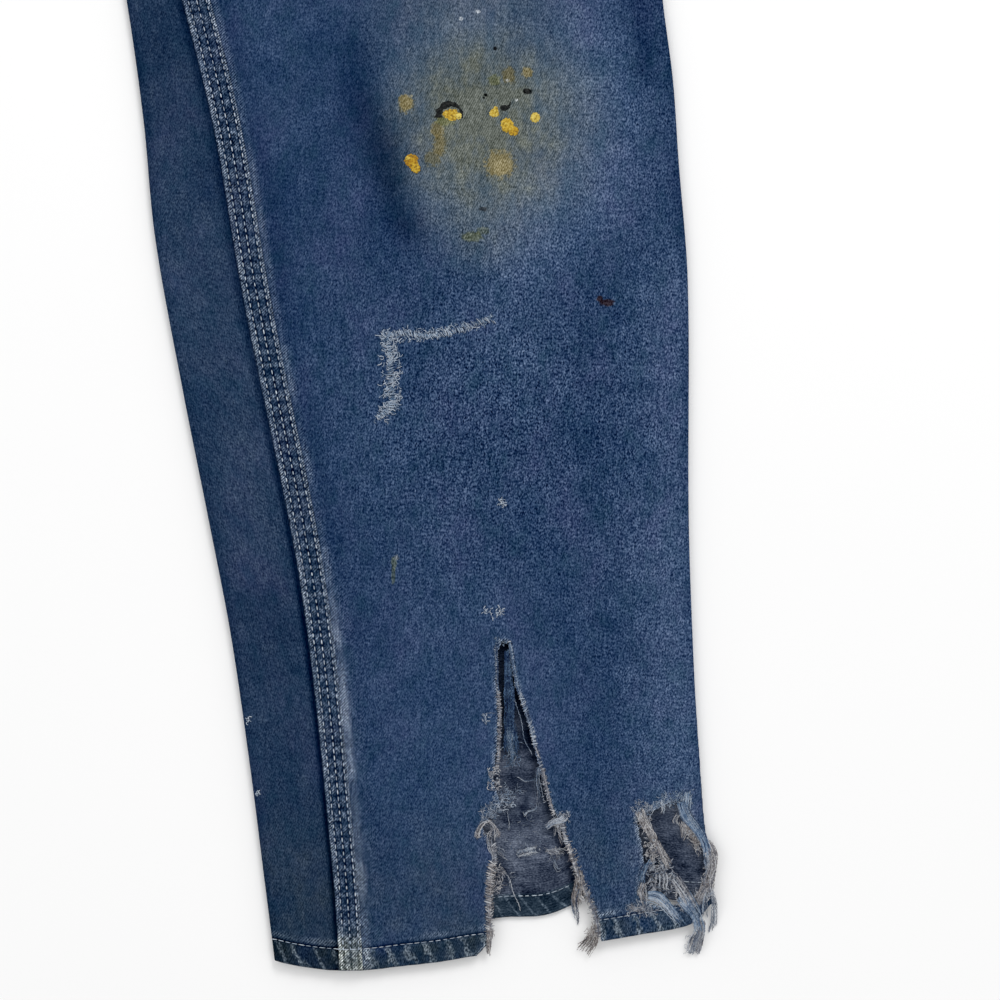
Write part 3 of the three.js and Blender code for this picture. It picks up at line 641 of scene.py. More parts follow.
# ---- Finishes ----
class Value:
    """A socket of a finish, with arithmetic that adds its Math nodes."""

    def __init__(self, finish, socket):
        self.finish, self.socket = finish, socket

    def maths(self, operation, *values, clamp=False):
        settings = {"operation": operation, "use_clamp": clamp}
        return self.finish.node("ShaderNodeMath", settings, values)

    def __add__(self, other):
        return self.maths("ADD", self, other)

    def __sub__(self, other):
        return self.maths("SUBTRACT", self, other)

    def __rsub__(self, other):
        return self.maths("SUBTRACT", other, self)

    def __mul__(self, other):
        return self.maths("MULTIPLY", self, other)

    __radd__, __rmul__ = __add__, __mul__

    def sine(self):
        return self.maths("SINE", self)

    def clamped(self):
        return self.maths("ADD", self, 0.0, clamp=True)

    def step(self, low, high):
        """0 below low, 1 above high, and smooth between. low may be the greater."""
        return self.finish.node("ShaderNodeMapRange", {"interpolation_type": "SMOOTHSTEP"}, [self, low, high])


class Finish:
    """A material built from nodes."""

    def __init__(self, name):
        self.material = bpy.data.materials.new(name)
        self.material.use_nodes = True
        self.tree = self.material.node_tree
        self.tree.nodes.clear()

    def node(self, kind, settings=None, values=(), output=0):
        """Adds a node: its settings first, then its sockets' values or links, by place or by name."""
        made = self.tree.nodes.new(kind)
        for key, setting in (settings or {}).items():
            setattr(made, key, setting)
        pairs = values.items() if isinstance(values, dict) else enumerate(values)
        for key, value in pairs:
            if isinstance(value, Value):
                self.tree.links.new(value.socket, made.inputs[key])
            else:
                made.inputs[key].default_value = value
        return Value(self, made.outputs[output]) if made.outputs else None

    def mask(self, name):
        return self.node("ShaderNodeAttribute", {"attribute_name": name}, output=2)

    def position(self):
        """Where a point is, in the frame's metres."""
        return self.node("ShaderNodeTexCoord", output=3)

    def grain(self):
        """Where a point is in the cloth, across and along its grain."""
        return self.node("ShaderNodeUVMap", {"uv_map": "grain"})

    def vector(self, operation, *values, output=0):
        return self.node("ShaderNodeVectorMath", {"operation": operation}, values, output)

    def mix(self, factor, first, second):
        """Mixes colours."""
        colours = [c if isinstance(c, Value) else (*c, 1) for c in (first, second)]
        settings = {"data_type": "RGBA", "blend_type": "MIX", "clamp_factor": True}
        return self.node("ShaderNodeMix", settings, {0: factor, 6: colours[0], 7: colours[1]}, output=2)

    def stretched(self, where, across, along, seed=0.0):
        """Coordinates scaled along each direction."""
        return self.vector("MULTIPLY_ADD", where, (across, along, across), (seed, seed * 1.7, seed * 0.6))

    def noise(self, where, scale=1.0, detail=2.0, rough=0.5):
        values = {"Vector": where, "Scale": scale, "Detail": detail, "Roughness": rough}
        return self.node("ShaderNodeTexNoise", None, values)

    def lines(self, where, across, along, wander):
        """Slanting lines from -1 to 1, by their pitch across and along the grain."""
        slant = (math.tau / across, -math.tau / along, 0)
        return (self.vector("DOT_PRODUCT", where, slant, output=1) + wander).sine()

    def dyed(self, seen, tint):
        """A colour from how light it looks and its tint at the mean tone."""
        looks = self.vector("ADD", tint, seen - MEAN_TONE)
        return self.node("ShaderNodeGamma", None, {"Color": looks, "Gamma": 2.2})

    def bump(self, height, distance, strength):
        values = {"Strength": strength, "Distance": distance, "Height": height}
        return self.node("ShaderNodeBump", None, values)

    def surface(self, **values):
        """The shader and the output. Values are the shader's sockets, with _ for a space."""
        named = {key.replace("_", " "): value for key, value in values.items()}
        shader = self.node("ShaderNodeBsdfPrincipled", None, named)
        self.node("ShaderNodeOutputMaterial", None, {"Surface": shader})
        return self.material


# Pitch of slanting lines in the cloth, in metres across and along the grain.
TWILL = (0.00122, 0.0026)
STROKES = (0.0015, 0.00165)
HEM_PUCKERS = (0.0104, -0.023)
TURNED_PUCKERS = (0.0082, 0.015)
PALE_WEFT = (0.031, 0.00145)
# What each cloth's colour looks like at the mean tone, from 0 to 1 as the eye sees it.
INDIGO_TINT = (0.172, 0.254, 0.39)
GREEN_TINT = (0.172, 0.264, 0.376)
PURPLE_TINT = (0.19, 0.25, 0.392)
SOILED_TINT = (0.262, 0.283, 0.26)
PUCKER_TINT = (0.232, 0.272, 0.31)
TURNED_TINT = (0.224, 0.274, 0.326)
RUBBED_TINT = (0.202, 0.258, 0.35)
INSIDE_TINT = (0.226, 0.258, 0.322)

# Flat stains under the weave: (x, y, half width, half height, tint, strength, lighter or darker).
OCHRE = (0.335, 0.29, 0.15)
OLIVE = (0.3, 0.305, 0.15)
INK = (0.26, 0.262, 0.27)
CHALK = (0.25, 0.27, 0.29)
LICHEN = (0.25, 0.285, 0.235)
RUST = (0.29, 0.235, 0.245)
STAINS = [
    (262.4, 435.6, 8.0, 7.2, OCHRE, 0.8, 0.14), (264.0, 433.5, 4.6, 4.2, OCHRE, 0.5, 0.1),
    (267.1, 483.6, 3.8, 4.6, OCHRE, 0.6, 0.0), (259.5, 481.0, 3.4, 2.8, OLIVE, 0.5, 0.0),
    (277.1, 485.0, 2.8, 3.0, OCHRE, 0.8, 0.15), (228.5, 454.2, 3.4, 4.2, OCHRE, 0.7, 0.0),
    (232.5, 459.5, 5.0, 3.5, OLIVE, 0.7, 0.05), (229.8, 446.0, 3.4, 6.5, OCHRE, 0.65, 0.0),
    (226.0, 438.8, 4.4, 4.4, OCHRE, 0.5, 0.0), (247.3, 396.4, 5.5, 2.8, OLIVE, 0.45, 0.0),
    (253.0, 399.5, 3.6, 2.2, OLIVE, 0.3, 0.0), (205.2, 220.5, 1.5, 4.0, LICHEN, 0.7, 0.2),
    (204.8, 213.5, 1.2, 4.5, LICHEN, 0.6, 0.05), (206.4, 223.4, 1.4, 1.8, CHALK, 0.7, 0.45),
    (211.7, 468.4, 4.0, 5.0, OCHRE, 0.9, 0.2), (253.4, 411.3, 2.4, 1.3, INK, 0.5, -0.35),
    (320.2, 360.7, 4.2, 1.8, RUST, 0.8, -0.3), (316.4, 362.8, 1.8, 1.6, RUST, 0.8, -0.35),
    (277.1, 474.9, 2.2, 1.7, INK, 0.8, -0.85), (254.8, 472.8, 0.9, 0.9, INK, 0.8, -0.8),
    (253.7, 471.4, 0.6, 0.6, INK, 0.8, -0.7), (259.7, 498, 1.1, 1.0, INK, 0.8, -0.7),
    (250.6, 517.9, 1.3, 1.0, CHALK, 0.6, 0.8), (241.4, 514.1, 1.2, 1.0, CHALK, 0.6, 0.7),
    (271.5, 470.2, 0.8, 0.8, CHALK, 0.6, 0.8), (266.3, 480.8, 1.0, 0.7, CHALK, 0.6, 0.7),
]


def spot(finish, where, centre, half_size, wobble):
    """A soft blot: 1 within, 0 outside."""
    middle = place((*centre, 0))
    offset = finish.vector("SUBTRACT", where, (middle[0], middle[1], 0))
    scaled = finish.vector("MULTIPLY", offset, (1 / (half_size[0] * MM), 1 / (half_size[1] * MM), 0))
    return (finish.vector("LENGTH", scaled, output=1) + wobble).step(1.25, 0.7)


def denim(name, stained=False):
    """Right-hand twill from outside: indigo warp with specks of pale weft, worn and soiled by its masks; its
    tone mask also holds painted shade.
    """
    f = Finish(name)
    grain = f.grain()
    tone, speckled, soiled, rubbed, hem = map(f.mask, ("tone", "speckled", "soiled", "rubbed", "hem"))
    # Specks are single floats of yarn, slubs are thick warps, and patches are where it washed unevenly.
    speck = f.noise(f.stretched(grain, 1240, 780, 7), detail=1) - 0.5
    slub = f.noise(f.stretched(grain, 640, 110), detail=2, rough=0.6) - 0.5
    patch = f.noise(f.stretched(grain, 110, 70, 3), detail=3, rough=0.65) - 0.5
    broad = f.noise(f.stretched(grain, 34, 20, 5), detail=3, rough=0.6) - 0.5
    twill = f.lines(grain, *TWILL, speck * 4.0)
    strokes = f.lines(grain, *STROKES, speck * 1.3)
    coarse = f.noise(f.stretched(grain, 330, 260, 8), detail=2, rough=0.6) - 0.5
    lively = speckled * (speck * (patch * 3.0 + 2.4) * (1.0 - soiled * 0.45) + slub * 0.8) + patch * 0.35
    lively = lively + twill * (soiled * 0.13 + 0.045) + coarse * (soiled * 0.25 + 0.15)
    seen = tone * (lively + 1.0) + broad * 0.09
    seen = seen + rubbed * (strokes * 0.26 + 0.22 + speck * 0.8)
    pucker = f.lines(grain, *HEM_PUCKERS, patch * 9.0).step(0.15, 1.0) * hem
    seen = seen + pucker * (speck * 0.6 + patch * 0.35 + 0.15) - hem * 0.055
    tint = f.mix((broad * 3.0 + patch * 2.0 + 0.45).clamped(), GREEN_TINT, PURPLE_TINT)
    tint = f.mix((patch * 3.0 - broad * 3.0 + 0.4).clamped(), tint, INDIGO_TINT)
    tint = f.mix(soiled * (patch * 1.6 + 1.0), f.mix(rubbed, tint, RUBBED_TINT), SOILED_TINT)
    tint = f.mix(pucker * 0.7, tint, PUCKER_TINT)
    if stained:
        flat = f.vector("MULTIPLY", f.position(), (1, 1, 0))
        wobble = (f.noise(flat, 420, 3, 0.6) - 0.5) * 1.6
        for x, y, across, along, stain, strength, light in STAINS:
            blot = spot(f, flat, (x, y), (across, along), wobble)
            tint = f.mix(blot * strength, tint, stain)
            seen = seen * (blot * light + 1.0)
    colour = f.dyed(seen, tint)
    normal = f.bump(twill * 0.25 + speck * 2.2 + slub, 0.00022, 0.8)
    return f.surface(Base_Color=colour, Roughness=1.0, Normal=normal, Specular_IOR_Level=0.0)


def denim_inside(name):
    """The inside of the cloth, where the pale weft shows most, and the hem that is turned up over it. A mask
    of painted shadow darkens it under the tears.
    """
    f = Finish(name)
    grain = f.grain()
    speck = f.noise(f.stretched(grain, 900, 1180, 5), detail=1) - 0.5
    slub = f.noise(f.stretched(grain, 70, 620, 2), detail=3, rough=0.6) - 0.5
    patch = f.noise(f.stretched(grain, 120, 120, 9), detail=3, rough=0.65) - 0.5
    broad = f.noise(f.stretched(grain, 40, 40, 4), detail=2) - 0.5
    turned, painted_shadow = f.mask("turned"), f.mask("painted_shadow")
    streak = f.lines(grain, *TURNED_PUCKERS, patch * 4.0).step(0.72, 1.0)
    weft = f.lines(grain, *PALE_WEFT, speck * 5.0 + slub * 4.0)
    seen = speck * 0.46 + slub * 0.26 + patch * 0.5 + broad * 0.4 + weft * 0.02 + 0.312
    # The last factor is painted shadow, from the mask made under the tears.
    seen = seen * (turned * (streak * 0.45 - 0.24) + 1.0) * (1.0 - painted_shadow)
    tint = f.mix(turned, INSIDE_TINT, TURNED_TINT)
    normal = f.bump(speck + slub, 0.00025, 0.9)
    return f.surface(Base_Color=f.dyed(seen, tint), Roughness=1.0, Normal=normal, Specular_IOR_Level=0.0)


# ---- Staging: the camera, the light and the floor ----
VIEW_CENTRE = (262.4, 254.3)
VIEW_WIDTH = 540
CAMERA_HEIGHT = 1.6  # in metres, like the lamps' places
SENSOR = 36
FAR = 60
FLOOR_SIZE, FLOOR_DROP = 30, 0.0004  # the floor is just under the cloth, so that the two don't flicker
ROOM_LIGHT = 0.78
LAMPS = (("key", (1.5, 2.0, 2.6), 1.6, 46), ("fill", (-2.2, 0.6, 2.6), 2.4, 14))  # (name, place, size, watts)


def stage_scene():
    scene = bpy.context.scene
    scene.view_settings.view_transform = "Standard"
    camera = bpy.data.cameras.new("camera")
    camera.sensor_width = SENSOR
    camera.lens = SENSOR * CAMERA_HEIGHT / (VIEW_WIDTH * MM)
    camera.clip_end = FAR
    holder = bpy.data.objects.new("camera", camera)
    holder.location = place((*VIEW_CENTRE, 0)) + (0, 0, CAMERA_HEIGHT + 0.005)
    scene.collection.objects.link(holder)
    scene.camera = holder
    world = bpy.data.worlds.new("soft room")
    world.use_nodes = True
    world.node_tree.nodes["Background"].inputs[0].default_value = (1.0, 1.0, 1.0, 1)
    world.node_tree.nodes["Background"].inputs[1].default_value = ROOM_LIGHT
    scene.world = world
    for name, at, size, watts in LAMPS:
        light = bpy.data.lights.new(name, "AREA")
        light.shape, light.size, light.energy = "DISK", size, watts
        lamp = bpy.data.objects.new(name, light)
        lamp.location = at
        lamp.rotation_euler = (Vector((0.2, -0.5, 0)) - Vector(at)).to_track_quat("-Z", "Y").to_euler()
        scene.collection.objects.link(lamp)
    bpy.ops.mesh.primitive_plane_add(size=FLOOR_SIZE, location=(0, 0, -FLOOR_DROP))
    floor = bpy.context.object
    floor.name = "floor"
    f = Finish("pale floor")
    grain = f.noise(f.position(), 3.0)
    floor.data.materials.append(f.surface(Base_Color=f.mix(grain, (0.93, 0.93, 0.93), (0.95, 0.95, 0.95)),
                                          Roughness=1.0, Specular_IOR_Level=0.0))


stage_scene()

# ---- Trouser panels, dressed ----
OUTSIDE = denim("denim")
STAINED = denim("stained denim", stained=True)
INSIDE = denim_inside("denim inside")
FINE_ROWS = rows_between((0, 18, 1.2), (18, 530, 2.9), (530, WAIST - SEAM_GAP, 6))
PLAIN_ROWS = rows_between((0, 18, 1.5), (18, WAIST - SEAM_GAP, 5.5))
BACK_ROWS = rows_between((0, 18, 1.5), (18, TEAR_REGION, 2.8), (TEAR_REGION, WAIST - SEAM_GAP, 7.5))
HEM_INWARD = 0.8  # the turned-up hem's thickness, on the inside


def declare(piece, node, flat, area, rests_on, slot="denim"):
    """Every cloth piece rides the one body and stands for its plain solid; its cut, in metres, is not used.
    """
    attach(piece, "root")
    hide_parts(node)
    return piece


def cut(heights, width):
    """A piece's greatest width, its length and its flat area, in metres."""
    area = float(np.sum((width[1:] + width[:-1]) / 2 * np.diff(heights))) * MM * MM
    return (float(width.max()) * MM, float(heights[-1] - heights[0]) * MM), area


def cut_of(heights, first, last):
    """The cut of a trouser panel between two places on the round."""
    ring = Round(heights)
    return cut(heights, last(ring) - first(ring))


def front_panel(cloth, side):
    """One trouser front: its creases, worn places and hem."""
    torn = side == "left"
    height = height_under(cloth.x, cloth.y)
    cloth.masks = wear_and_shade_masks(cloth, height, torn)
    raised = np.where(cloth.upper, front_relief(cloth.x, height), 0)
    cloth.points[:, 2] += np.where(cloth.upper, front_lift(cloth.x, cloth.y, height, side, torn), 0)
    piece = cloth.on(side).shell(f"front_{side}", STAINED if torn else OUTSIDE, INSIDE, relief=raised)
    flat, area = cut_of(PLAIN_ROWS, lambda r: r.inseam_joint, lambda r: r.outseam)
    return declare(piece, f"leg_front_{side}", flat, area, [f"leg_back_{side}"])


def under_tears(cloth):
    """Painted shadow on the back's inside where it is seen through the tears, darkest beside their edges."""
    x, y = cloth.x, cloth.y
    painted_shadow = np.zeros(len(x))
    near = y < TEAR_REGION
    xn, yn = x[near], y[near]
    edge = from_path(xn, yn, [point for point in LONG_TEAR if point[0] > 266])
    slit = from_path(xn, yn, [point for point in LONG_TEAR if point[0] < 262 and point[1] > 110])
    painted_shadow[near] += 0.45 * np.exp(-(edge / 4.0) ** 2) + 0.3 * np.exp(-(slit / 3.0) ** 2)
    painted_shadow[near] += 0.14 * ease((yn - 100) / 50) + 0.12 * cloud(xn, yn, 14, 91)
    shadow = from_path(xn, yn, [(276, 93), (275, 84), (274.2, 76)])
    painted_shadow[near] += 0.6 * bell(shadow, 1.6) * (0.6 + 0.4 * cloud(xn, yn, 4, 92))
    painted_shadow[near] -= 0.28 * bell(np.hypot((xn - 277) / 1.5, yn - 66), 9)
    corner = ease((xn - 328) / 6)
    rim = from_path(xn, yn, CORNER_TEAR + CORNER_TEAR[:1])
    deep = 0.3 + 0.45 * np.exp(-(rim / 4.0) ** 2) + 0.6 * bell(yn - 43, 8)
    deep += 0.4 * bell(np.hypot(xn - 352, yn - 88), 8)
    painted_shadow[near] = painted_shadow[near] * (1 - corner) + deep * corner
    return np.clip(painted_shadow, 0, 0.8)


def back_panel(side):
    """One trouser back, which is the layer that the garment lies on, and its turned-up hem on the inside."""
    cloth = whole_back(BACK_ROWS, 3.4 if side == "left" else 7.0)
    lower = cloth.out[:, 2] < -0.99
    height = np.where(cloth.upper, height_under(cloth.x, cloth.y), height_under(cloth.x, cloth.y, -1))
    lift = np.clip(creases(cloth.x, cloth.y, BACK_CREASES), 0, 1.3) * ease((height - 20) / 60)
    cloth.points[:, 2] += np.where(lower, lift, 0)
    cloth.masks = wear_and_shade_masks(cloth, height, False)
    cloth = cloth.on(side)
    turned = (1 - ease((height - HEM + 0.6) / 1.4)) * lower
    cloth.masks["turned"] = turned
    # Painted shadow on the back's inside under the left leg's tears; none on the right.
    cloth.masks["painted_shadow"] = under_tears(cloth) if side == "left" else np.zeros(len(cloth.x))
    inward = (HEM_INWARD + 0.2 * np.sin(hem_rope(cloth.x, height))) * turned
    inward -= 0.45 * bell(height - HEM_STITCH, 0.8)
    raised = np.where(cloth.upper, hem_relief(cloth.x, height), 0)
    piece = cloth.shell(f"back_{side}", OUTSIDE, INSIDE, relief=raised, inward=inward * lower)
    flat, area = cut_of(BACK_ROWS, lambda r: r.outseam + SEAM_GAP,
                        lambda r: r.total + r.inseam_joint - np.where(r.y < CROTCH, SEAM_GAP, 0))
    return declare(piece, f"leg_back_{side}", flat, area, ["floor"])


front_panel(torn_front(FINE_ROWS, 3.0), "left")
front_panel(whole_front(PLAIN_ROWS, 5.5), "right")
back_panel("left")
back_panel("right")


# ---- Strips, bands, bibs and straps ----
FELL = 1.2
FELL_FLAT = (0.0145, 0.7895)  # in metres
FELL_ROWS = (0.21, 0.52, 0.87)  # the rows of stitches in the inseam's fell, as shares of its width
RISE_ROWS = (-4.2, 4.2)
PLACKET_THICK = 1.3
PLACKET = {"low": 925, "high": WAIST - SEAM_GAP, "lap": 6, "facing": 24}
PLACKET_ROWS = (2.2, 27.4)
BAND_ROWS = (2.4, WAISTBAND - 2.4)
STRAP_ROW = 2.4  # from each edge
BAND_HIGH = WAIST + WAISTBAND
FRONT_BAND_SHARE, BACK_BAND_SHARE = 0.985, 0.98  # of its rectangle, since a waistband narrows to its top


def field(x, y):
    """The grain of a flat piece that was cut straight."""
    return np.stack([x, y], -1)


def plain_wear_and_shade(x, y, seed, rubbed, sunk=0.0):
    """Masks for a piece with no story of its own: worn at its edges, with painted shade where stitches draw
    it in.
    """
    none = np.zeros(np.shape(x))
    # The tone is darkened by painted shade where stitches draw the cloth in.
    return {"tone": MEAN_TONE + 0.03 * clouds(x, y, 40, seed) - 0.12 * sunk, "soiled": none + 0.05,
            "speckled": none + 0.8, "rubbed": np.clip(none + rubbed, 0, 1)}


def grid(heights, low, high, columns):
    """Each point's height, and its place in its row."""
    return np.meshgrid(heights, np.linspace(low, high, columns), indexing="ij")


def grid_cloth(x, y, z, grain, **masks):
    """Cloth facing up on a grid of points."""
    points = np.stack([x.ravel(), y.ravel(), z.ravel()], -1)
    out = np.tile([0.0, 0.0, 1.0], (len(points), 1))
    flat = {key: np.broadcast_to(mask, x.shape).ravel() for key, mask in masks.items()}
    return Cloth(points, out, grain.reshape(-1, 2), grid_triangles(*x.shape), **flat)


SINK_WIDTH = 0.7


def stitch_sink(across, rows):
    """How deep cloth is drawn in at rows of stitches."""
    return sum(bell(across - row, SINK_WIDTH) for row in rows)


def flattened(masks):
    return {key: mask.ravel() for key, mask in masks.items()}


def puckers(along, across, pitch, seed):
    wave = along / pitch + 0.45 * cloud(along, across, pitch * 2.2, seed)
    return np.sin(math.tau * wave)


def inseam_fell(side):
    """The felled inseam: folded edge to the left, three rows of stitches, and puckered lanes between them."""
    heights = rows_between((0.5, 790, 1.15 if side == "left" else 2.2))
    height, part = grid(heights, 0, 1, 14)
    width = fell_width(height)
    across = width * part
    x = inseam(height) + across
    y = height + hem_rise(x, height, 1)
    face = front_face(x.ravel(), y.ravel(), side, side == "left")
    z = face.reshape(x.shape) + SEAM_GAP + FELL / 2
    sunk = stitch_sink(across, [share * width for share in FELL_ROWS])
    lanes = puckers(height, across, 7.4, 81) * 0.5 + 0.5
    edge_ridge = bell(across - 1.3, 1.5)
    relief = 0.25 * edge_ridge * (0.8 + 0.4 * cloud(height, across, 6, 82)) - 0.5 * sunk
    relief += 0.22 * lanes * (across > 3) - 0.75 * ease((part - 0.84) / 0.16)
    relief += 0.12 * clouds(x, y, 5, 83)
    rubbed = 0.84 * edge_ridge * (0.85 + 0.35 * cloud(x, y, 6, 84))
    rubbed += (0.42 * lanes + 0.08) * (1 - sunk) * (across > 3.6)
    rubbed += 0.75 * bell(across - width, 1.5)
    low = 1 - ease((height - 8) / 20)
    # Painted shade: darker in the grooves of the stitches and in the troughs between the puckers of the
    # lanes.
    tone = 0.228 + 0.03 * clouds(x, y, 30, 85) - 0.16 * np.minimum(sunk, 1) + 0.1 * low
    tone = np.maximum(tone - 0.035 * (across > 3.2) * (1 - lanes), 0.03)
    masks = {"tone": tone, "soiled": 0.22 + 0.5 * low, "speckled": 1.5,
             "rubbed": np.clip(rubbed + 0.25 * low, 0, 1)}
    cloth = grid_cloth(x, y, z, leaned(x, height), **masks)
    raised = relief.ravel()
    piece = cloth.on(side).shell(f"inseam_fell_{side}", OUTSIDE, OUTSIDE, thick=FELL, relief=raised)
    area = float(np.sum(fell_width(heights[:-1]) * np.diff(heights))) * MM * MM
    return declare(piece, f"fell_inseam_{side}", FELL_FLAT, area, [f"front_{side}"], "worn_denim")


def rise_fell():
    """The felled seam up the front, from the crotch to the waistband."""
    heights = rows_between((834, WAIST - SEAM_GAP, 1.6))
    height, across = grid(heights, -7, 7, 12)
    right, left = (front_face(np.abs(across).ravel(), height.ravel(), side, False).reshape(across.shape)
                   for side in ("right", "left"))
    z = np.maximum(right, left) + SEAM_GAP + FELL / 2
    sunk = stitch_sink(across, RISE_ROWS)
    lanes = puckers(height, across, 7.8, 86) * 0.5 + 0.5
    edges = bell(np.abs(across) - 6.2, 1.1)
    relief = 0.2 * lanes - 0.5 * sunk + 0.12 * edges
    # Painted light and shade: the tone is lighter on the puckers' crests and darker in the grooves of the
    # stitches.
    masks = {"tone": 0.2 + 0.06 * lanes - 0.14 * np.minimum(sunk, 1), "soiled": 0.05, "speckled": 1.0,
             "rubbed": np.clip(0.7 * edges * (0.7 + 0.5 * lanes) + 0.2 * lanes, 0, 1)}
    cloth = grid_cloth(across, height, z, field(across, height), **masks)
    piece = cloth.shell("front_rise_fell", OUTSIDE, OUTSIDE, thick=FELL, relief=relief.ravel())
    flat = (0.014, float(heights[-1] - heights[0]) * MM)
    return declare(piece, "fell_front_rise", flat, flat[0] * flat[1], ["front_left", "front_right"],
                   "worn_denim")


def side_joint(y):
    return outer_fold(y) - DENIM / 2 - FOLD_RADIUS - (outseam_from_fold(y) - math.pi * FOLD_RADIUS / 2)


def placket(side):
    """The facing down a side opening, which laps over the back and buttons."""
    heights = rows_between((PLACKET["low"], PLACKET["high"], 2.0))
    height, part = grid(heights, 0, 1, 17)
    left, right = side_joint(height) - PLACKET["facing"], side_joint(height) + PLACKET["lap"]
    x = left + (right - left) * part
    held = np.minimum(x, outer_fold(height) - 6)
    z = front_face(held.ravel(), height.ravel(), side, False).reshape(x.shape) + SEAM_GAP + PLACKET_THICK / 2
    across = x - left
    sunk = stitch_sink(across, PLACKET_ROWS)
    wave = puckers(height, across, 9, 87)
    edges = bell(across - 0.6, 0.9) + bell(across - PLACKET["facing"] - PLACKET["lap"] + 0.6, 1.1)
    masks = plain_wear_and_shade(x, height, 88, 0.55 * edges, np.minimum(sunk, 1))
    cloth = grid_cloth(x, height, z, field(x, height), **masks)
    relief = 0.12 * wave * np.clip(1 - np.abs(across - PLACKET_ROWS[1]) / 7, 0, 1) - 0.35 * sunk
    piece = cloth.on(side).shell(f"side_placket_{side}", OUTSIDE, OUTSIDE, thick=PLACKET_THICK,
                                 relief=relief.ravel())
    flat = ((PLACKET["facing"] + PLACKET["lap"]) * MM, float(heights[-1] - heights[0]) * MM)
    return declare(piece, f"placket_{side}", flat, flat[0] * flat[1], [f"front_{side}"])


def band_end(y):
    return outer_fold(y) - FOLD_RADIUS - BAND / 2 - (outseam_from_fold(y) - math.pi * FOLD_RADIUS / 2)


def band_relief(y, x):
    """A waistband between its two rows of stitches."""
    up = y - WAIST
    sunk = stitch_sink(up, BAND_ROWS)
    return (0.3 * np.sin(math.pi * up / WAISTBAND) * (1 + 0.5 * puckers(x, up, 11, 91))
            + 0.1 * clouds(x, y, 14, 92) - 0.35 * sunk), sunk


def front_waistband():
    heights = rows_between((WAIST, BAND_HIGH, 1.6))
    height, part = grid(heights, -1, 1, 181)
    x = band_end(height) * part
    relief, sunk = band_relief(height, x)
    up = height - WAIST
    edges = bell(up - 0.6, 1.0) + bell(up - WAISTBAND + 0.6, 1.0) + bell(band_end(height) - np.abs(x), 1.5)
    masks = plain_wear_and_shade(x, height, 93, 0.6 * edges, np.minimum(sunk, 1))
    cloth = grid_cloth(x, height, np.full(x.shape, BAND / 2 + LAYERS_APART), field(x, height), **masks)
    piece = cloth.shell("front_waistband", OUTSIDE, INSIDE, thick=BAND, relief=relief.ravel())
    flat = (2 * float(band_end(WAIST)) * MM, WAISTBAND * MM)
    return declare(piece, "waistband_front", flat, flat[0] * flat[1] * FRONT_BAND_SHARE, ["waistband_back"])


def back_waistband():
    """Round both side folds and along the lower layer."""
    heights = rows_between((WAIST, BAND_HIGH, 1.6))
    ring = Round(heights, BAND)
    start, end = ring.outseam + SEAM_GAP, ring.inner_start
    places = np.array([stations(a, b, 80, fold_corners(fold))
                       for a, b, fold in zip(start, end, ring.outer_start)])
    rows = np.repeat(heights[:, None], places.shape[1], 1)
    points, out = Round(rows.ravel(), BAND).at(places.ravel())
    shape = (*places.shape, 3)
    points, out = points.reshape(shape), out.reshape(shape)
    flip = np.array([-1, 1, 1])
    points = np.concatenate([points[:, :-1], (points * flip)[:, ::-1][:, 1:]], 1)
    out = np.concatenate([out[:, :-1], (out * flip)[:, ::-1][:, 1:]], 1)
    along = np.concatenate([places[:, :-1] - places[:, -1:], (places[:, -1:] - places)[:, ::-1][:, 1:]], 1)
    height = np.repeat(heights[:, None], along.shape[1], 1)
    relief, sunk = band_relief(height, along)
    relief = np.where(out[..., 2] > -0.9, relief, 0)
    masks = flattened(plain_wear_and_shade(along, height, 94, 0.1, np.minimum(sunk, 1)))
    cloth = Cloth(points.reshape(-1, 3), out.reshape(-1, 3), field(along, height).reshape(-1, 2),
                  grid_triangles(*along.shape), **masks)
    piece = cloth.shell("back_waistband", OUTSIDE, INSIDE, thick=BAND, relief=relief.ravel())
    width = float(np.max(along[:, -1] - along[:, 0])) * MM
    return declare(piece, "waistband_back", (width, WAISTBAND * MM), width * WAISTBAND * MM * BACK_BAND_SHARE,
                   ["floor"])


TURNED_TOP = 26  # depth of the turned top of a bib
TOP_ROWS = (2.2, TURNED_TOP)
SIDE_ROWS = (2.4, 8.8)


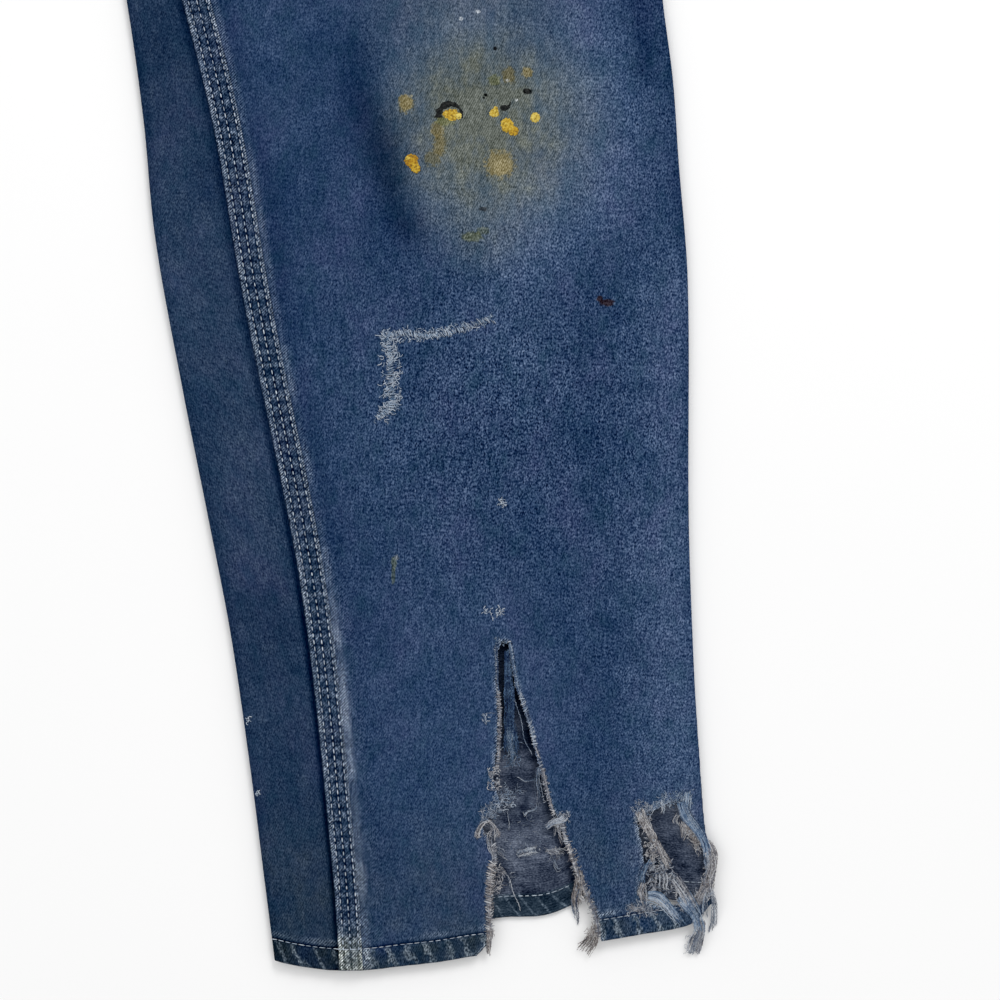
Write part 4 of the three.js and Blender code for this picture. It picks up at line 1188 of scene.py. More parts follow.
def flat_panel(name, node, top, side, face, folds, rests_on):
    """A bib panel: flat, with a turned top and stitched sides. Its lower face lies at the height face."""
    heights = rows_between((BAND_HIGH + SEAM_GAP, top - 30, 4.5), (top - 30, top, 1.5))
    height, part = grid(heights, -1, 1, 93)
    x = side(height) * part
    from_side = side(height) - np.abs(x)
    lift = creases(x, height, folds) * ease(from_side / 20) * ease((height - BAND_HIGH - 4) / 30)
    lift = (np.clip(lift, -0.8, 2.4) + 0.25 * clouds(x, height, 36, 95)) * ease((top - height) / 20)
    lift = np.clip(lift, 0 if face < 1 else -0.6, 3)
    under_top = top - height
    sunk = stitch_sink(under_top, TOP_ROWS) + stitch_sink(from_side, SIDE_ROWS) * (under_top > 2)
    relief = 0.45 * (1 - ease((under_top - TURNED_TOP) / 2)) + 0.35 * (1 - ease((from_side - 9.5) / 1.5))
    relief = np.minimum(relief, 0.55) - 0.35 * np.minimum(sunk, 1)
    relief += 0.12 * puckers(x, height, 10, 96) * bell(under_top - TURNED_TOP, 5)
    edges = np.minimum(bell(from_side - 0.5, 1.2) + bell(under_top - 0.5, 1.2), 1)
    masks = plain_wear_and_shade(x, height, 97, 0.65 * edges + 0.15 * bell(lift - 1.6, 0.8), np.minimum(sunk, 1))
    cloth = grid_cloth(x, height, face + DENIM / 2 + lift, field(x, height), **masks)
    piece = cloth.shell(name, OUTSIDE, INSIDE, relief=relief.ravel())
    return declare(piece, node, *cut(heights, 2 * side(heights)), rests_on)


# ---- Straps ----
WIRE = 1.3
CLASP_Z = 6.4
CLASP_BAR_Y = 1436
SLIDER = {"y": 1478, "z": 7.7, "thick": 1.6, "bar": 3, "slot": 7}
THREADING = WEBBING / 2 + SEAM_GAP


def strap_line():
    """The middle line of a strap as (y, z), the same as its plain solid's."""
    on_back = DENIM + SEAM_GAP + WEBBING / 2
    on_floor = WEBBING / 2
    under = SLIDER["z"] - SLIDER["thick"] / 2 - THREADING
    over = SLIDER["z"] + SLIDER["thick"] / 2 + THREADING
    returning = under - WEBBING - SEAM_GAP
    fold_radius = (under - on_floor) / 2
    fold_y = STRAP_TOP - fold_radius - WEBBING / 2
    clasp_turn = WIRE + THREADING
    bar_step = SLIDER["bar"] + SLIDER["slot"]
    crest = SLIDER["bar"] / 2 + 1

    def arc(y, z, radius, start, end):
        return [(y + radius * math.cos(a), z + radius * math.sin(a)) for a in np.linspace(start, end, 13)]
    half = math.pi / 2
    line = [(BACK_TOP - 35, on_back), (BACK_TOP + 1, on_back), (BACK_TOP + 14, on_floor)]
    line += arc(fold_y, on_floor + fold_radius, fold_radius, -half, half)
    line += [(SLIDER["y"] + bar_step - crest + 0.4, under), (SLIDER["y"] + crest, over)]
    line += [(SLIDER["y"] - crest, over), (SLIDER["y"] - bar_step + crest - 0.4, under)]
    line += [(SLIDER["y"] - bar_step - crest, under), (CLASP_BAR_Y + 9, CLASP_Z + clasp_turn - 0.2)]
    line += arc(CLASP_BAR_Y, CLASP_Z, clasp_turn, half, 3 * half)
    return line + [(CLASP_BAR_Y + 10, returning), (SLIDER["y"] + 3, returning)]


def evenly_along(line, step):
    """Points every step along a line, with the line's length there."""
    line = np.array(line, float)
    length = np.concatenate([[0], np.cumsum(np.hypot(*np.diff(line, axis=0).T))])
    at = np.linspace(0, length[-1], max(round(length[-1] / step), 2) + 1)
    return np.stack([np.interp(at, length, line[:, k]) for k in range(line.shape[1])], -1), at


def strap(side):
    """A strap of two layers stitched along both edges."""
    line, along = evenly_along(strap_line(), 1.5)
    direction = np.gradient(line, axis=0)
    direction /= np.linalg.norm(direction, axis=1)[:, None]
    across = np.linspace(-STRAP_WIDTH / 2, STRAP_WIDTH / 2, 17)
    shape = (len(line), len(across))
    middle = STRAP_X if side == "left" else -STRAP_X
    points = np.zeros((*shape, 3))
    points[..., 0] = middle + across
    points[..., 1], points[..., 2] = line[:, :1], line[:, 1:]
    # The way out turns with the line: down on the stretch that lies on the surface, and up after the fold.
    out = np.zeros((*shape, 3))
    out[..., 1], out[..., 2] = direction[:, 1:], -direction[:, :1]
    length, width = np.broadcast_to(along[:, None], shape), np.broadcast_to(across, shape)
    from_edge = STRAP_WIDTH / 2 - np.abs(width)
    relief = -0.18 * stitch_sink(from_edge, (STRAP_ROW,)) - 0.25 * (1 - ease(from_edge / 1.2))
    masks = flattened(plain_wear_and_shade(width, length, 98, 0.7 * bell(from_edge - 0.4, 0.9)))
    cloth = Cloth(points.reshape(-1, 3), out.reshape(-1, 3), field(width, length).reshape(-1, 2),
                  grid_triangles(*shape)[:, ::-1], **masks)
    piece = cloth.shell(f"shoulder_strap_{side}", OUTSIDE, OUTSIDE, thick=WEBBING, relief=relief.ravel())
    length = float(along[-1]) * MM
    return declare(piece, f"strap_{side}", (STRAP_WIDTH * MM, length), STRAP_WIDTH * MM * length,
                   ["bib_back_panel", "floor"])


for side in ("left", "right"):
    inseam_fell(side)
    placket(side)
    strap(side)
rise_fell()
front_waistband()
back_waistband()
flat_panel("bib_front_panel", "bib_front", BIB_TOP, bib_side, LAYERS_APART, BIB_CREASES, ["bib_back_panel"])
flat_panel("bib_back_panel", "bib_back", BACK_TOP, back_side, 0, BIB_CREASES[:3], ["floor"])


# ---- The cloth's upper faces, for stitches, yarn and paint ----
HIGH_ABOVE = 60.0


class Faces:
    """The upper faces of pieces, found from above."""

    def __init__(self, *names):
        depsgraph = bpy.context.evaluated_depsgraph_get()
        self.trees = [BVHTree.FromObject(bpy.data.objects[name], depsgraph) for name in names]

    def height(self, x, y, missing=np.nan):
        """The highest face at each point, in garment millimetres."""
        spots = place(np.stack([np.atleast_1d(x), np.atleast_1d(y), np.full(np.size(x), HIGH_ABOVE)], -1))
        found = np.full(len(spots), missing, float)
        for tree in self.trees:
            for i, spot_above in enumerate(spots):
                hit = tree.ray_cast(Vector(spot_above), Vector((0, 0, -1)))[0]
                if hit is not None and not hit.z / MM < found[i]:
                    found[i] = hit.z / MM
        return found


# ---- Stitches ----
STITCH_PITCH, STITCH_LENGTH, STITCH_WIDTH, STITCH_HEIGHT = 3.7, 2.7, 0.68, 0.5
HEM_STITCH_LENGTH, HEM_STITCH_WIDTH = 3.6, 0.46  # finer, and pulled tight enough to look like one line


class Tree:
    """A Geometry Nodes tree with named inputs."""

    def __init__(self, name, inputs):
        self.group = bpy.data.node_groups.new(name, "GeometryNodeTree")
        for key, kind in inputs.items():
            self.group.interface.new_socket(key, in_out="INPUT", socket_type=kind)
        self.group.interface.new_socket("Geometry", in_out="OUTPUT", socket_type="NodeSocketGeometry")
        self.given = self.group.nodes.new("NodeGroupInput")

    def node(self, kind, settings=None, values=None):
        made = self.group.nodes.new(kind)
        for key, setting in (settings or {}).items():
            setattr(made, key, setting)
        for key, value in (values or {}).items():
            if isinstance(value, bpy.types.NodeSocket):
                self.group.links.new(value, made.inputs[key])
            else:
                made.inputs[key].default_value = value
        return made.outputs

    def put_on(self, piece, **values):
        """Runs the tree on a piece and leaves its result as the piece's plain mesh."""
        modifier = piece.modifiers.new(self.group.name, "NODES")
        modifier.node_group = self.group
        sockets = self.group.interface.items_tree
        by_name = {item.name: item.identifier for item in sockets if item.in_out == "INPUT"}
        for key, value in values.items():
            modifier[by_name[key]] = value
        evaluated = piece.evaluated_get(bpy.context.evaluated_depsgraph_get())
        mesh = bpy.data.meshes.new_from_object(evaluated)
        piece.modifiers.remove(modifier)
        piece.data = mesh
        return piece


def stitch_tree():
    """Stitches along the edges of a mesh: each one a rounded grain of thread, of an uneven size."""
    tree = Tree("rows of stitches", {
        "Geometry": "NodeSocketGeometry", "Pitch": "NodeSocketFloat", "Length": "NodeSocketFloat",
        "Width": "NodeSocketFloat", "Height": "NodeSocketFloat", "Seed": "NodeSocketInt",
        "Thread": "NodeSocketMaterial"})
    given = tree.given.outputs
    curve = tree.node("GeometryNodeMeshToCurve", values={"Mesh": given["Geometry"]})
    spots = tree.node("GeometryNodeCurveToPoints", {"mode": "LENGTH"},
                      {"Curve": curve[0], "Length": given["Pitch"]})
    up = tree.node("GeometryNodeInputNamedAttribute", {"data_type": "FLOAT_VECTOR"}, {"Name": "up"})
    turn = tree.node("FunctionNodeAxesToRotation", {"primary_axis": "X", "secondary_axis": "Z"},
                     {"Primary Axis": spots["Tangent"], "Secondary Axis": up["Attribute"]})
    size = tree.node("ShaderNodeCombineXYZ",
                     values={"X": given["Length"], "Y": given["Width"], "Z": given["Height"]})
    uneven = tree.node("FunctionNodeRandomValue", {"data_type": "FLOAT_VECTOR"},
                       {"Min": (0.8, 0.8, 0.8), "Max": (1.12, 1.15, 1.15), "Seed": given["Seed"]})
    scale = tree.node("ShaderNodeVectorMath", {"operation": "MULTIPLY"},
                      {0: size[0], 1: uneven["Value"]})
    grain = tree.node("GeometryNodeMeshUVSphere", values={"Segments": 6, "Rings": 4, "Radius": 0.5})
    round_grain = tree.node("GeometryNodeSetShadeSmooth", values={"Geometry": grain["Mesh"]})
    placed = tree.node("GeometryNodeInstanceOnPoints", values={
        "Points": spots["Points"], "Instance": round_grain[0],
        "Rotation": turn[0], "Scale": scale[0]})
    tone = tree.node("FunctionNodeRandomValue", {"data_type": "FLOAT"}, {"Seed": 7})
    toned = tree.node("GeometryNodeStoreNamedAttribute", {"data_type": "FLOAT", "domain": "INSTANCE"},
                      {"Geometry": placed[0], "Name": "tone", "Value": tone["Value"]})
    real = tree.node("GeometryNodeRealizeInstances", values={"Geometry": toned[0]})
    coloured = tree.node("GeometryNodeSetMaterial", values={"Geometry": real[0], "Material": given["Thread"]})
    tree.node("NodeGroupOutput", values={"Geometry": coloured[0]})
    return tree


def thread_finish():
    """Bleached cotton thread, soiled unevenly."""
    f = Finish("thread")
    tone = f.mask("tone")
    where = f.position()
    dirt = f.noise(f.stretched(where, 90, 90), detail=3, rough=0.6)
    colour = f.mix(tone, (0.3, 0.37, 0.47), (0.62, 0.69, 0.78))
    colour = f.mix((dirt - 0.42).clamped() * 2.0, colour, (0.21, 0.25, 0.3))
    twist = f.noise(f.stretched(where, 2400, 2400, 4), detail=1)
    return f.surface(Base_Color=colour, Roughness=0.8, Specular_IOR_Level=0.2,
                     Normal=f.bump(twist, 0.0002, 0.7))


THREAD = thread_finish()
STITCHES = stitch_tree()


def sewn(name, rows, length=STITCH_LENGTH, width=STITCH_WIDTH):
    """A piece of stitches along rows, each one a list of (points, up) of a line in garment millimetres."""
    points, edges, ups = [], [], []
    for row, up in rows:
        start = len(points)
        points += list(row)
        ups += list(np.broadcast_to(up, (len(row), 3)))
        edges += [(start + i, start + i + 1) for i in range(len(row) - 1)]
    mesh = bpy.data.meshes.new(name)
    mesh.from_pydata([tuple(p) for p in place(points)], edges, [])
    up_layer = mesh.attributes.new("up", "FLOAT_VECTOR", "POINT")
    up_layer.data.foreach_set("vector", np.array(ups, np.float32).ravel())
    piece = bpy.data.objects.new(name, mesh)
    bpy.context.scene.collection.objects.link(piece)
    STITCHES.put_on(piece, Pitch=STITCH_PITCH * MM, Length=length * MM, Width=width * MM,
                    Height=STITCH_HEIGHT * MM, Seed=11, Thread=THREAD)
    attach(piece, "root")
    return piece


UP = (0.0, 0.0, 1.0)
THREAD_RISE = 0.08  # how far the middle of a stitch stands above the cloth that it draws in


def rows_on(faces, lines):
    """Rows of stitches along (x, y) lines on faces, broken where there is no cloth."""
    rows = []
    for x, y in lines:
        z = faces.height(x, y) + THREAD_RISE
        there = ~np.isnan(z)
        breaks = np.where(np.diff(there.astype(int)) != 0)[0] + 1
        for stretch in np.split(np.arange(len(z)), breaks):
            if there[stretch[0]] and len(stretch) > 2:
                rows.append((np.stack([x[stretch], y[stretch], z[stretch]], -1), UP))
    return rows


def leg_rows(side):
    """The inseam's three rows."""
    flip = 1 if side == "left" else -1
    heights = np.linspace(HEM_STITCH, 788, 400)
    lines = []
    for share in FELL_ROWS:
        x = inseam(heights) + share * fell_width(heights)
        lines.append((flip * x, heights + hem_rise(x, heights, 1)))
    return rows_on(Faces(f"inseam_fell_{side}"), lines)


def hem_rows(side):
    """The front hem's row, and the back's where it comes round the inner fold."""
    flip = 1 if side == "left" else -1
    x = np.linspace(inner_fold(HEM_STITCH) + 1.5, outer_fold(HEM_STITCH) - 3, 260)
    y = HEM_STITCH + hem_rise(x, HEM_STITCH, 1)
    strip = x < inseam(HEM_STITCH) - 0.5
    rows = rows_on(Faces(f"back_{side}"), [(flip * x[strip], y[strip])])
    return rows + rows_on(Faces(f"front_{side}", f"inseam_fell_{side}"), [(flip * x[~strip], y[~strip])])


def inner_hem_rows(side):
    """The back hem's row, seen from the inside."""
    x = np.linspace(inner_fold(HEM_STITCH) + 6, outer_fold(HEM_STITCH) - 6, 200)
    y = HEM_STITCH + hem_rise(x, HEM_STITCH, -1)
    z = np.full(x.shape, DENIM + 0.5)
    return [(np.stack([x if side == "left" else -x, y, z], -1), UP)]


def upper_rows():
    """The rise, the plackets, the waistband and the bibs."""
    lines = []
    heights = np.linspace(836, WAIST - 3, 90)
    lines += [(np.full(heights.shape, x), heights) for x in RISE_ROWS]
    for flip in (1, -1):
        heights = np.linspace(PLACKET["low"] + 2, PLACKET["high"] - 2, 60)
        for across in PLACKET_ROWS:
            lines.append((flip * (side_joint(heights) - PLACKET["facing"] + across), heights))
        low_end = side_joint(PLACKET["low"])
        foot = np.linspace(low_end - PLACKET["facing"] + 3, low_end + 3, 14)
        lines.append((flip * foot, np.full(foot.shape, PLACKET["low"] + 2.4)))
    for up in BAND_ROWS:
        x = np.linspace(-band_end(WAIST + up) + 3, band_end(WAIST + up) - 3, 240)
        lines.append((x, np.full(x.shape, WAIST + up)))
    ends = np.linspace(WAIST + 3, BAND_HIGH - 3, 20)
    lines += [(flip * (band_end(ends) - 2.4), ends) for flip in (1, -1)]
    for top, side in ((BIB_TOP, bib_side), (BACK_TOP, back_side)):
        for under in TOP_ROWS:
            x = np.linspace(-side(top - under) + 3, side(top - under) - 3, 110)
            lines.append((x, np.full(x.shape, top - under)))
        heights = np.linspace(BAND_HIGH + 2, top - 3, 130)
        lines += [(flip * (side(heights) - row), heights) for flip in (1, -1) for row in SIDE_ROWS]
    front = Faces("front_left", "front_right", "front_rise_fell", "side_placket_left", "side_placket_right",
                  "front_waistband", "bib_front_panel")
    back = Faces("bib_back_panel")
    split = len(lines) - 6
    rows = rows_on(front, lines[:split])
    for x, y in lines[split:]:
        hidden = (np.abs(x) < bib_side(np.minimum(y, BIB_TOP)) + 1) & (y < BIB_TOP + 1)
        rows += rows_on(back, [(np.where(hidden, 9999, x), y)])
    return rows


def strap_rows(side):
    """A row along each edge of a strap, where it doesn't lie face down."""
    line, _ = evenly_along(strap_line(), 1.5)
    direction = np.gradient(line, axis=0)
    direction /= np.linalg.norm(direction, axis=1)[:, None]
    up = np.stack([np.zeros(len(line)), direction[:, 1], -direction[:, 0]], -1)
    middle = STRAP_X if side == "left" else -STRAP_X
    rows = []
    for across in (STRAP_WIDTH / 2 - STRAP_ROW, STRAP_ROW - STRAP_WIDTH / 2):
        points = np.stack([np.full(len(line), middle + across), line[:, 0], line[:, 1]], -1)
        points += up * (WEBBING / 2 - 0.12 + THREAD_RISE)
        shown = points[:, 2] > 1.0
        rows.append((points[shown], up[shown]))
    return rows


sewn("stitches_left_leg", leg_rows("left"))
sewn("stitches_right_leg", leg_rows("right"))
sewn("stitches_hems", hem_rows("left") + hem_rows("right") + inner_hem_rows("left"), HEM_STITCH_LENGTH,
     HEM_STITCH_WIDTH)
sewn("stitches_upper", upper_rows())
sewn("stitches_straps", strap_rows("left") + strap_rows("right"))


# ---- Loose yarn ----
YARN_SIDES = 4
YARN_STEP = 0.9
YARN_TIP = 0.35  # a yarn's radius at its ends, as a share
ALMOST_UP = (0.12, 0.09, 1.0)  # so that no yarn runs along it
TONE_SPREAD, WARMTH_SPREAD = 0.17, 0.12  # from yarn to yarn
CRIMP_PITCH = 2.3
GROUND = Faces("front_left", "back_left", "inseam_fell_left")


def yarn_finish():
    """Ravelled cotton: warm is 0 for blue warp and 1 for undyed weft; tone runs from soiled to clean."""
    f = Finish("loose yarn")
    tone, warm = f.mask("tone"), f.mask("warm")
    where = f.position()
    fluff = f.noise(f.stretched(where, 1100, 1100), detail=2, rough=0.7)
    dirt = f.noise(f.stretched(where, 210, 210, 6), detail=2, rough=0.6)
    shade = (tone + 0.13 + (fluff - 0.5) * 1.1 + (dirt - 0.5) * 0.9).clamped()
    blue = f.mix((shade * 2.0).clamped(), (0.008, 0.022, 0.07), (0.098, 0.172, 0.285))
    blue = f.mix((shade * 2.0 - 1.0).clamped(), blue, (0.43, 0.505, 0.605))
    beige = f.mix((shade * 2.0).clamped(), (0.04, 0.035, 0.036), (0.245, 0.222, 0.217))
    beige = f.mix((shade * 2.0 - 1.0).clamped(), beige, (0.63, 0.614, 0.606))
    return f.surface(Base_Color=f.mix(warm, blue, beige), Roughness=1.0, Specular_IOR_Level=0.0,
                     Normal=f.bump(fluff, 0.0003, 0.8))


def beside(line):
    """The way to the left of a line in X and Y at each of its points."""
    along = np.gradient(line, axis=0)
    normal = np.stack([-along[:, 1], along[:, 0]], 1)
    return normal / np.maximum(np.linalg.norm(normal, axis=1), 1e-9)[:, None]


def smooth_route(route, step):
    """A smooth line through points, with a point every step."""
    route = np.asarray(route, float)
    gaps = np.hypot(*np.diff(route, axis=0).T)
    at = np.concatenate([[0], np.cumsum(np.maximum(gaps, 1e-6))])
    count = max(int(round(at[-1] / step)), 2)
    where = np.linspace(0, at[-1], count + 1)
    return np.stack([smooth(list(zip(at, route[:, k])))(where) for k in range(2)], 1)


class Yarns:
    """Loose yarns as thin tubes, each with a tone and a warmth."""

    def __init__(self, seed):
        self.rng = np.random.default_rng(seed)
        self.points, self.faces, self.tone, self.warm = [], [], [], []
        self.count = 0

    def tube(self, path, radius, tone, warm):
        """A tube along a path of garment points, thinning to a point at each end."""
        path = np.asarray(path, float)
        count = len(path)
        along = np.gradient(path, axis=0)
        along /= np.maximum(np.linalg.norm(along, axis=1), 1e-9)[:, None]
        side = np.cross(along, ALMOST_UP)
        side /= np.maximum(np.linalg.norm(side, axis=1), 1e-9)[:, None]
        over = np.cross(side, along)
        angle = np.arange(YARN_SIDES) * math.tau / YARN_SIDES
        thin = np.full(count, radius)
        thin[[0, -1]] *= YARN_TIP
        ring = path[:, None] + thin[:, None, None] * (side[:, None] * np.cos(angle)[None, :, None]
                                                      + over[:, None] * np.sin(angle)[None, :, None])
        i, k = np.meshgrid(np.arange(count - 1), np.arange(YARN_SIDES), indexing="ij")
        a = (i * YARN_SIDES + k).ravel()
        b = (i * YARN_SIDES + (k + 1) % YARN_SIDES).ravel()
        c, d = a + YARN_SIDES, b + YARN_SIDES
        fan = np.arange(1, YARN_SIDES - 1)
        last = (count - 1) * YARN_SIDES
        faces = [np.stack([a, b, d], 1), np.stack([a, d, c], 1), np.stack([0 * fan, fan + 1, fan], 1),
                 np.stack([last + 0 * fan, last + fan, last + fan + 1], 1)]
        self.faces.append(np.concatenate(faces) + self.count)
        self.points.append(ring.reshape(-1, 3))
        self.count += ring.shape[0] * YARN_SIDES
        self.tone.append(np.full(count * YARN_SIDES, np.clip(tone + self.rng.normal(0, TONE_SPREAD), 0, 1)))
        self.warm.append(np.full(count * YARN_SIDES, np.clip(warm + self.rng.normal(0, WARMTH_SPREAD), 0, 1)))

    def resting(self, x, y, share):
        """Heights for yarn at points: share is 0 on the front's face and 1 on whatever is under."""
        under = GROUND.height(x, y, 0.0)
        z = np.maximum(front_face(x, y) * (1 - share) + under * share, under)
        if len(z) > 4:
            z = np.maximum(np.convolve(np.pad(z, 2, mode="edge"), np.full(5, 0.2), "valid"), under)
        return z

    def strand(self, route, radius, tone, warm, sag, crimp=0.18, lift=0.0):
        """One yarn along a route. sag is where it lies at each end: 0 on the front, 1 on what is under."""
        curve = smooth_route(route, YARN_STEP)
        t = np.linspace(0, 1, len(curve))
        length = np.arange(len(curve)) * YARN_STEP
        normal = beside(curve)
        phase, slow = self.rng.uniform(0, 6.28, 2)
        wave = (crimp * np.sin(math.tau * length / CRIMP_PITCH + phase)
                + 2 * crimp * np.sin(length / 2.6 + slow) * t)
        x, y = (curve + normal * (wave + self.rng.normal(0, 0.05, len(t)))[:, None]).T
        z = self.resting(x, y, sag[0] + (sag[1] - sag[0]) * t) + radius + 0.05 + lift * np.sin(math.pi * t)
        z = z + 0.5 * crimp * (1 + np.cos(math.tau * length / CRIMP_PITCH))
        self.tube(np.stack([x, y, z], 1), radius, tone, warm)

    def bundle(self, route, count, width, spread, radius, tone, warm, sag=(0, 0), wild=0.32, lift=0.3,
               crimp=0.18):
        """Yarns side by side along a route, width apart at its start and spread apart at its end."""
        route = np.asarray(route, float)
        normal = beside(route)
        for _ in range(count):
            aside = self.rng.uniform(-0.5, 0.5)
            wide = (width + (spread - width) * np.linspace(0, 1, len(route))) * aside
            moved = route + normal * wide[:, None] + self.rng.normal(0, wild, route.shape)
            end = moved[-2] + (moved[-1] - moved[-2]) * self.rng.uniform(0.25, 1.15)
            moved = np.concatenate([moved[:-1], [end]])
            self.strand(moved, radius * self.rng.uniform(0.7, 1.25), tone, warm, sag, crimp,
                        lift * self.rng.uniform(0.2, 1.4))

    def ribs(self, route, length, tone, warm, radius=0.34, pitch=0.85, lean=0.0, arch=0.55, roll=2):
        """Short yarns across a torn edge, arched over it one after another, on a roll of the edge itself."""
        if roll:
            wide = length * 0.35
            self.bundle(route, roll, wide, wide, 0.42, tone - 0.2, warm, wild=0.1, lift=0, crimp=0.05)
        curve = smooth_route(route, pitch)
        direction = np.gradient(curve, axis=0)
        for (x, y), (dx, dy) in zip(curve, direction):
            turn = math.atan2(dy, dx) + math.pi / 2 + lean + self.rng.normal(0, 0.25)
            half = length / 2 * self.rng.uniform(0.6, 1.2)
            u = np.linspace(-1, 1, 6)
            bend = self.rng.normal(0, 0.3)
            aside = bend * (1 - u**2)
            px = x + (u * half) * math.cos(turn) - aside * math.sin(turn) + self.rng.normal(0, 0.15)
            py = y + (u * half) * math.sin(turn) + aside * math.cos(turn) + self.rng.normal(0, 0.15)
            z = front_face(px, py) + radius * 0.2 + arch * (1 - u**2) * self.rng.uniform(0.6, 1.3)
            self.tube(np.stack([px, py, z], 1), radius * self.rng.uniform(0.75, 1.15), tone, warm)

    def curls(self, outline, count, size, radius, tone, warm, sag=0.0, turns=1.0, lift=0.5):
        """Small curly ends scattered within an outline."""
        outline = [tuple(corner) for corner in outline]
        low, high = np.min(outline, axis=0), np.max(outline, axis=0)
        made = 0
        while made < count:
            x, y = self.rng.uniform(low, high)
            if not inside(np.array([x]), np.array([y]), outline)[0]:
                continue
            made += 1
            heading = self.rng.uniform(0, math.tau)
            bend = self.rng.normal(0, 1) * turns
            route = [(x, y)]
            for _ in range(6):
                heading += bend * 0.35 + self.rng.normal(0, 0.3)
                reach = size * self.rng.uniform(0.6, 1.3) / 7
                x, y = route[-1]
                route.append((x + reach * math.cos(heading), y + reach * math.sin(heading)))
            route = np.array(route)
            rise = lift * self.rng.uniform(0.2, 1.0) * np.sin(math.pi * np.linspace(0, 1, 7))
            z = self.resting(route[:, 0], route[:, 1], sag) + radius + rise
            self.tube(np.column_stack([route, z]), radius * self.rng.uniform(0.7, 1.3), tone, warm)

    def piece(self, name, *nodes):
        masks = {"tone": np.concatenate(self.tone), "warm": np.concatenate(self.warm)}
        piece = make_mesh(name, np.concatenate(self.points), np.concatenate(self.faces), [YARN], masks)
        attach(piece, "root")
        if nodes:
            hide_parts(*nodes)
        return piece


YARN = yarn_finish()


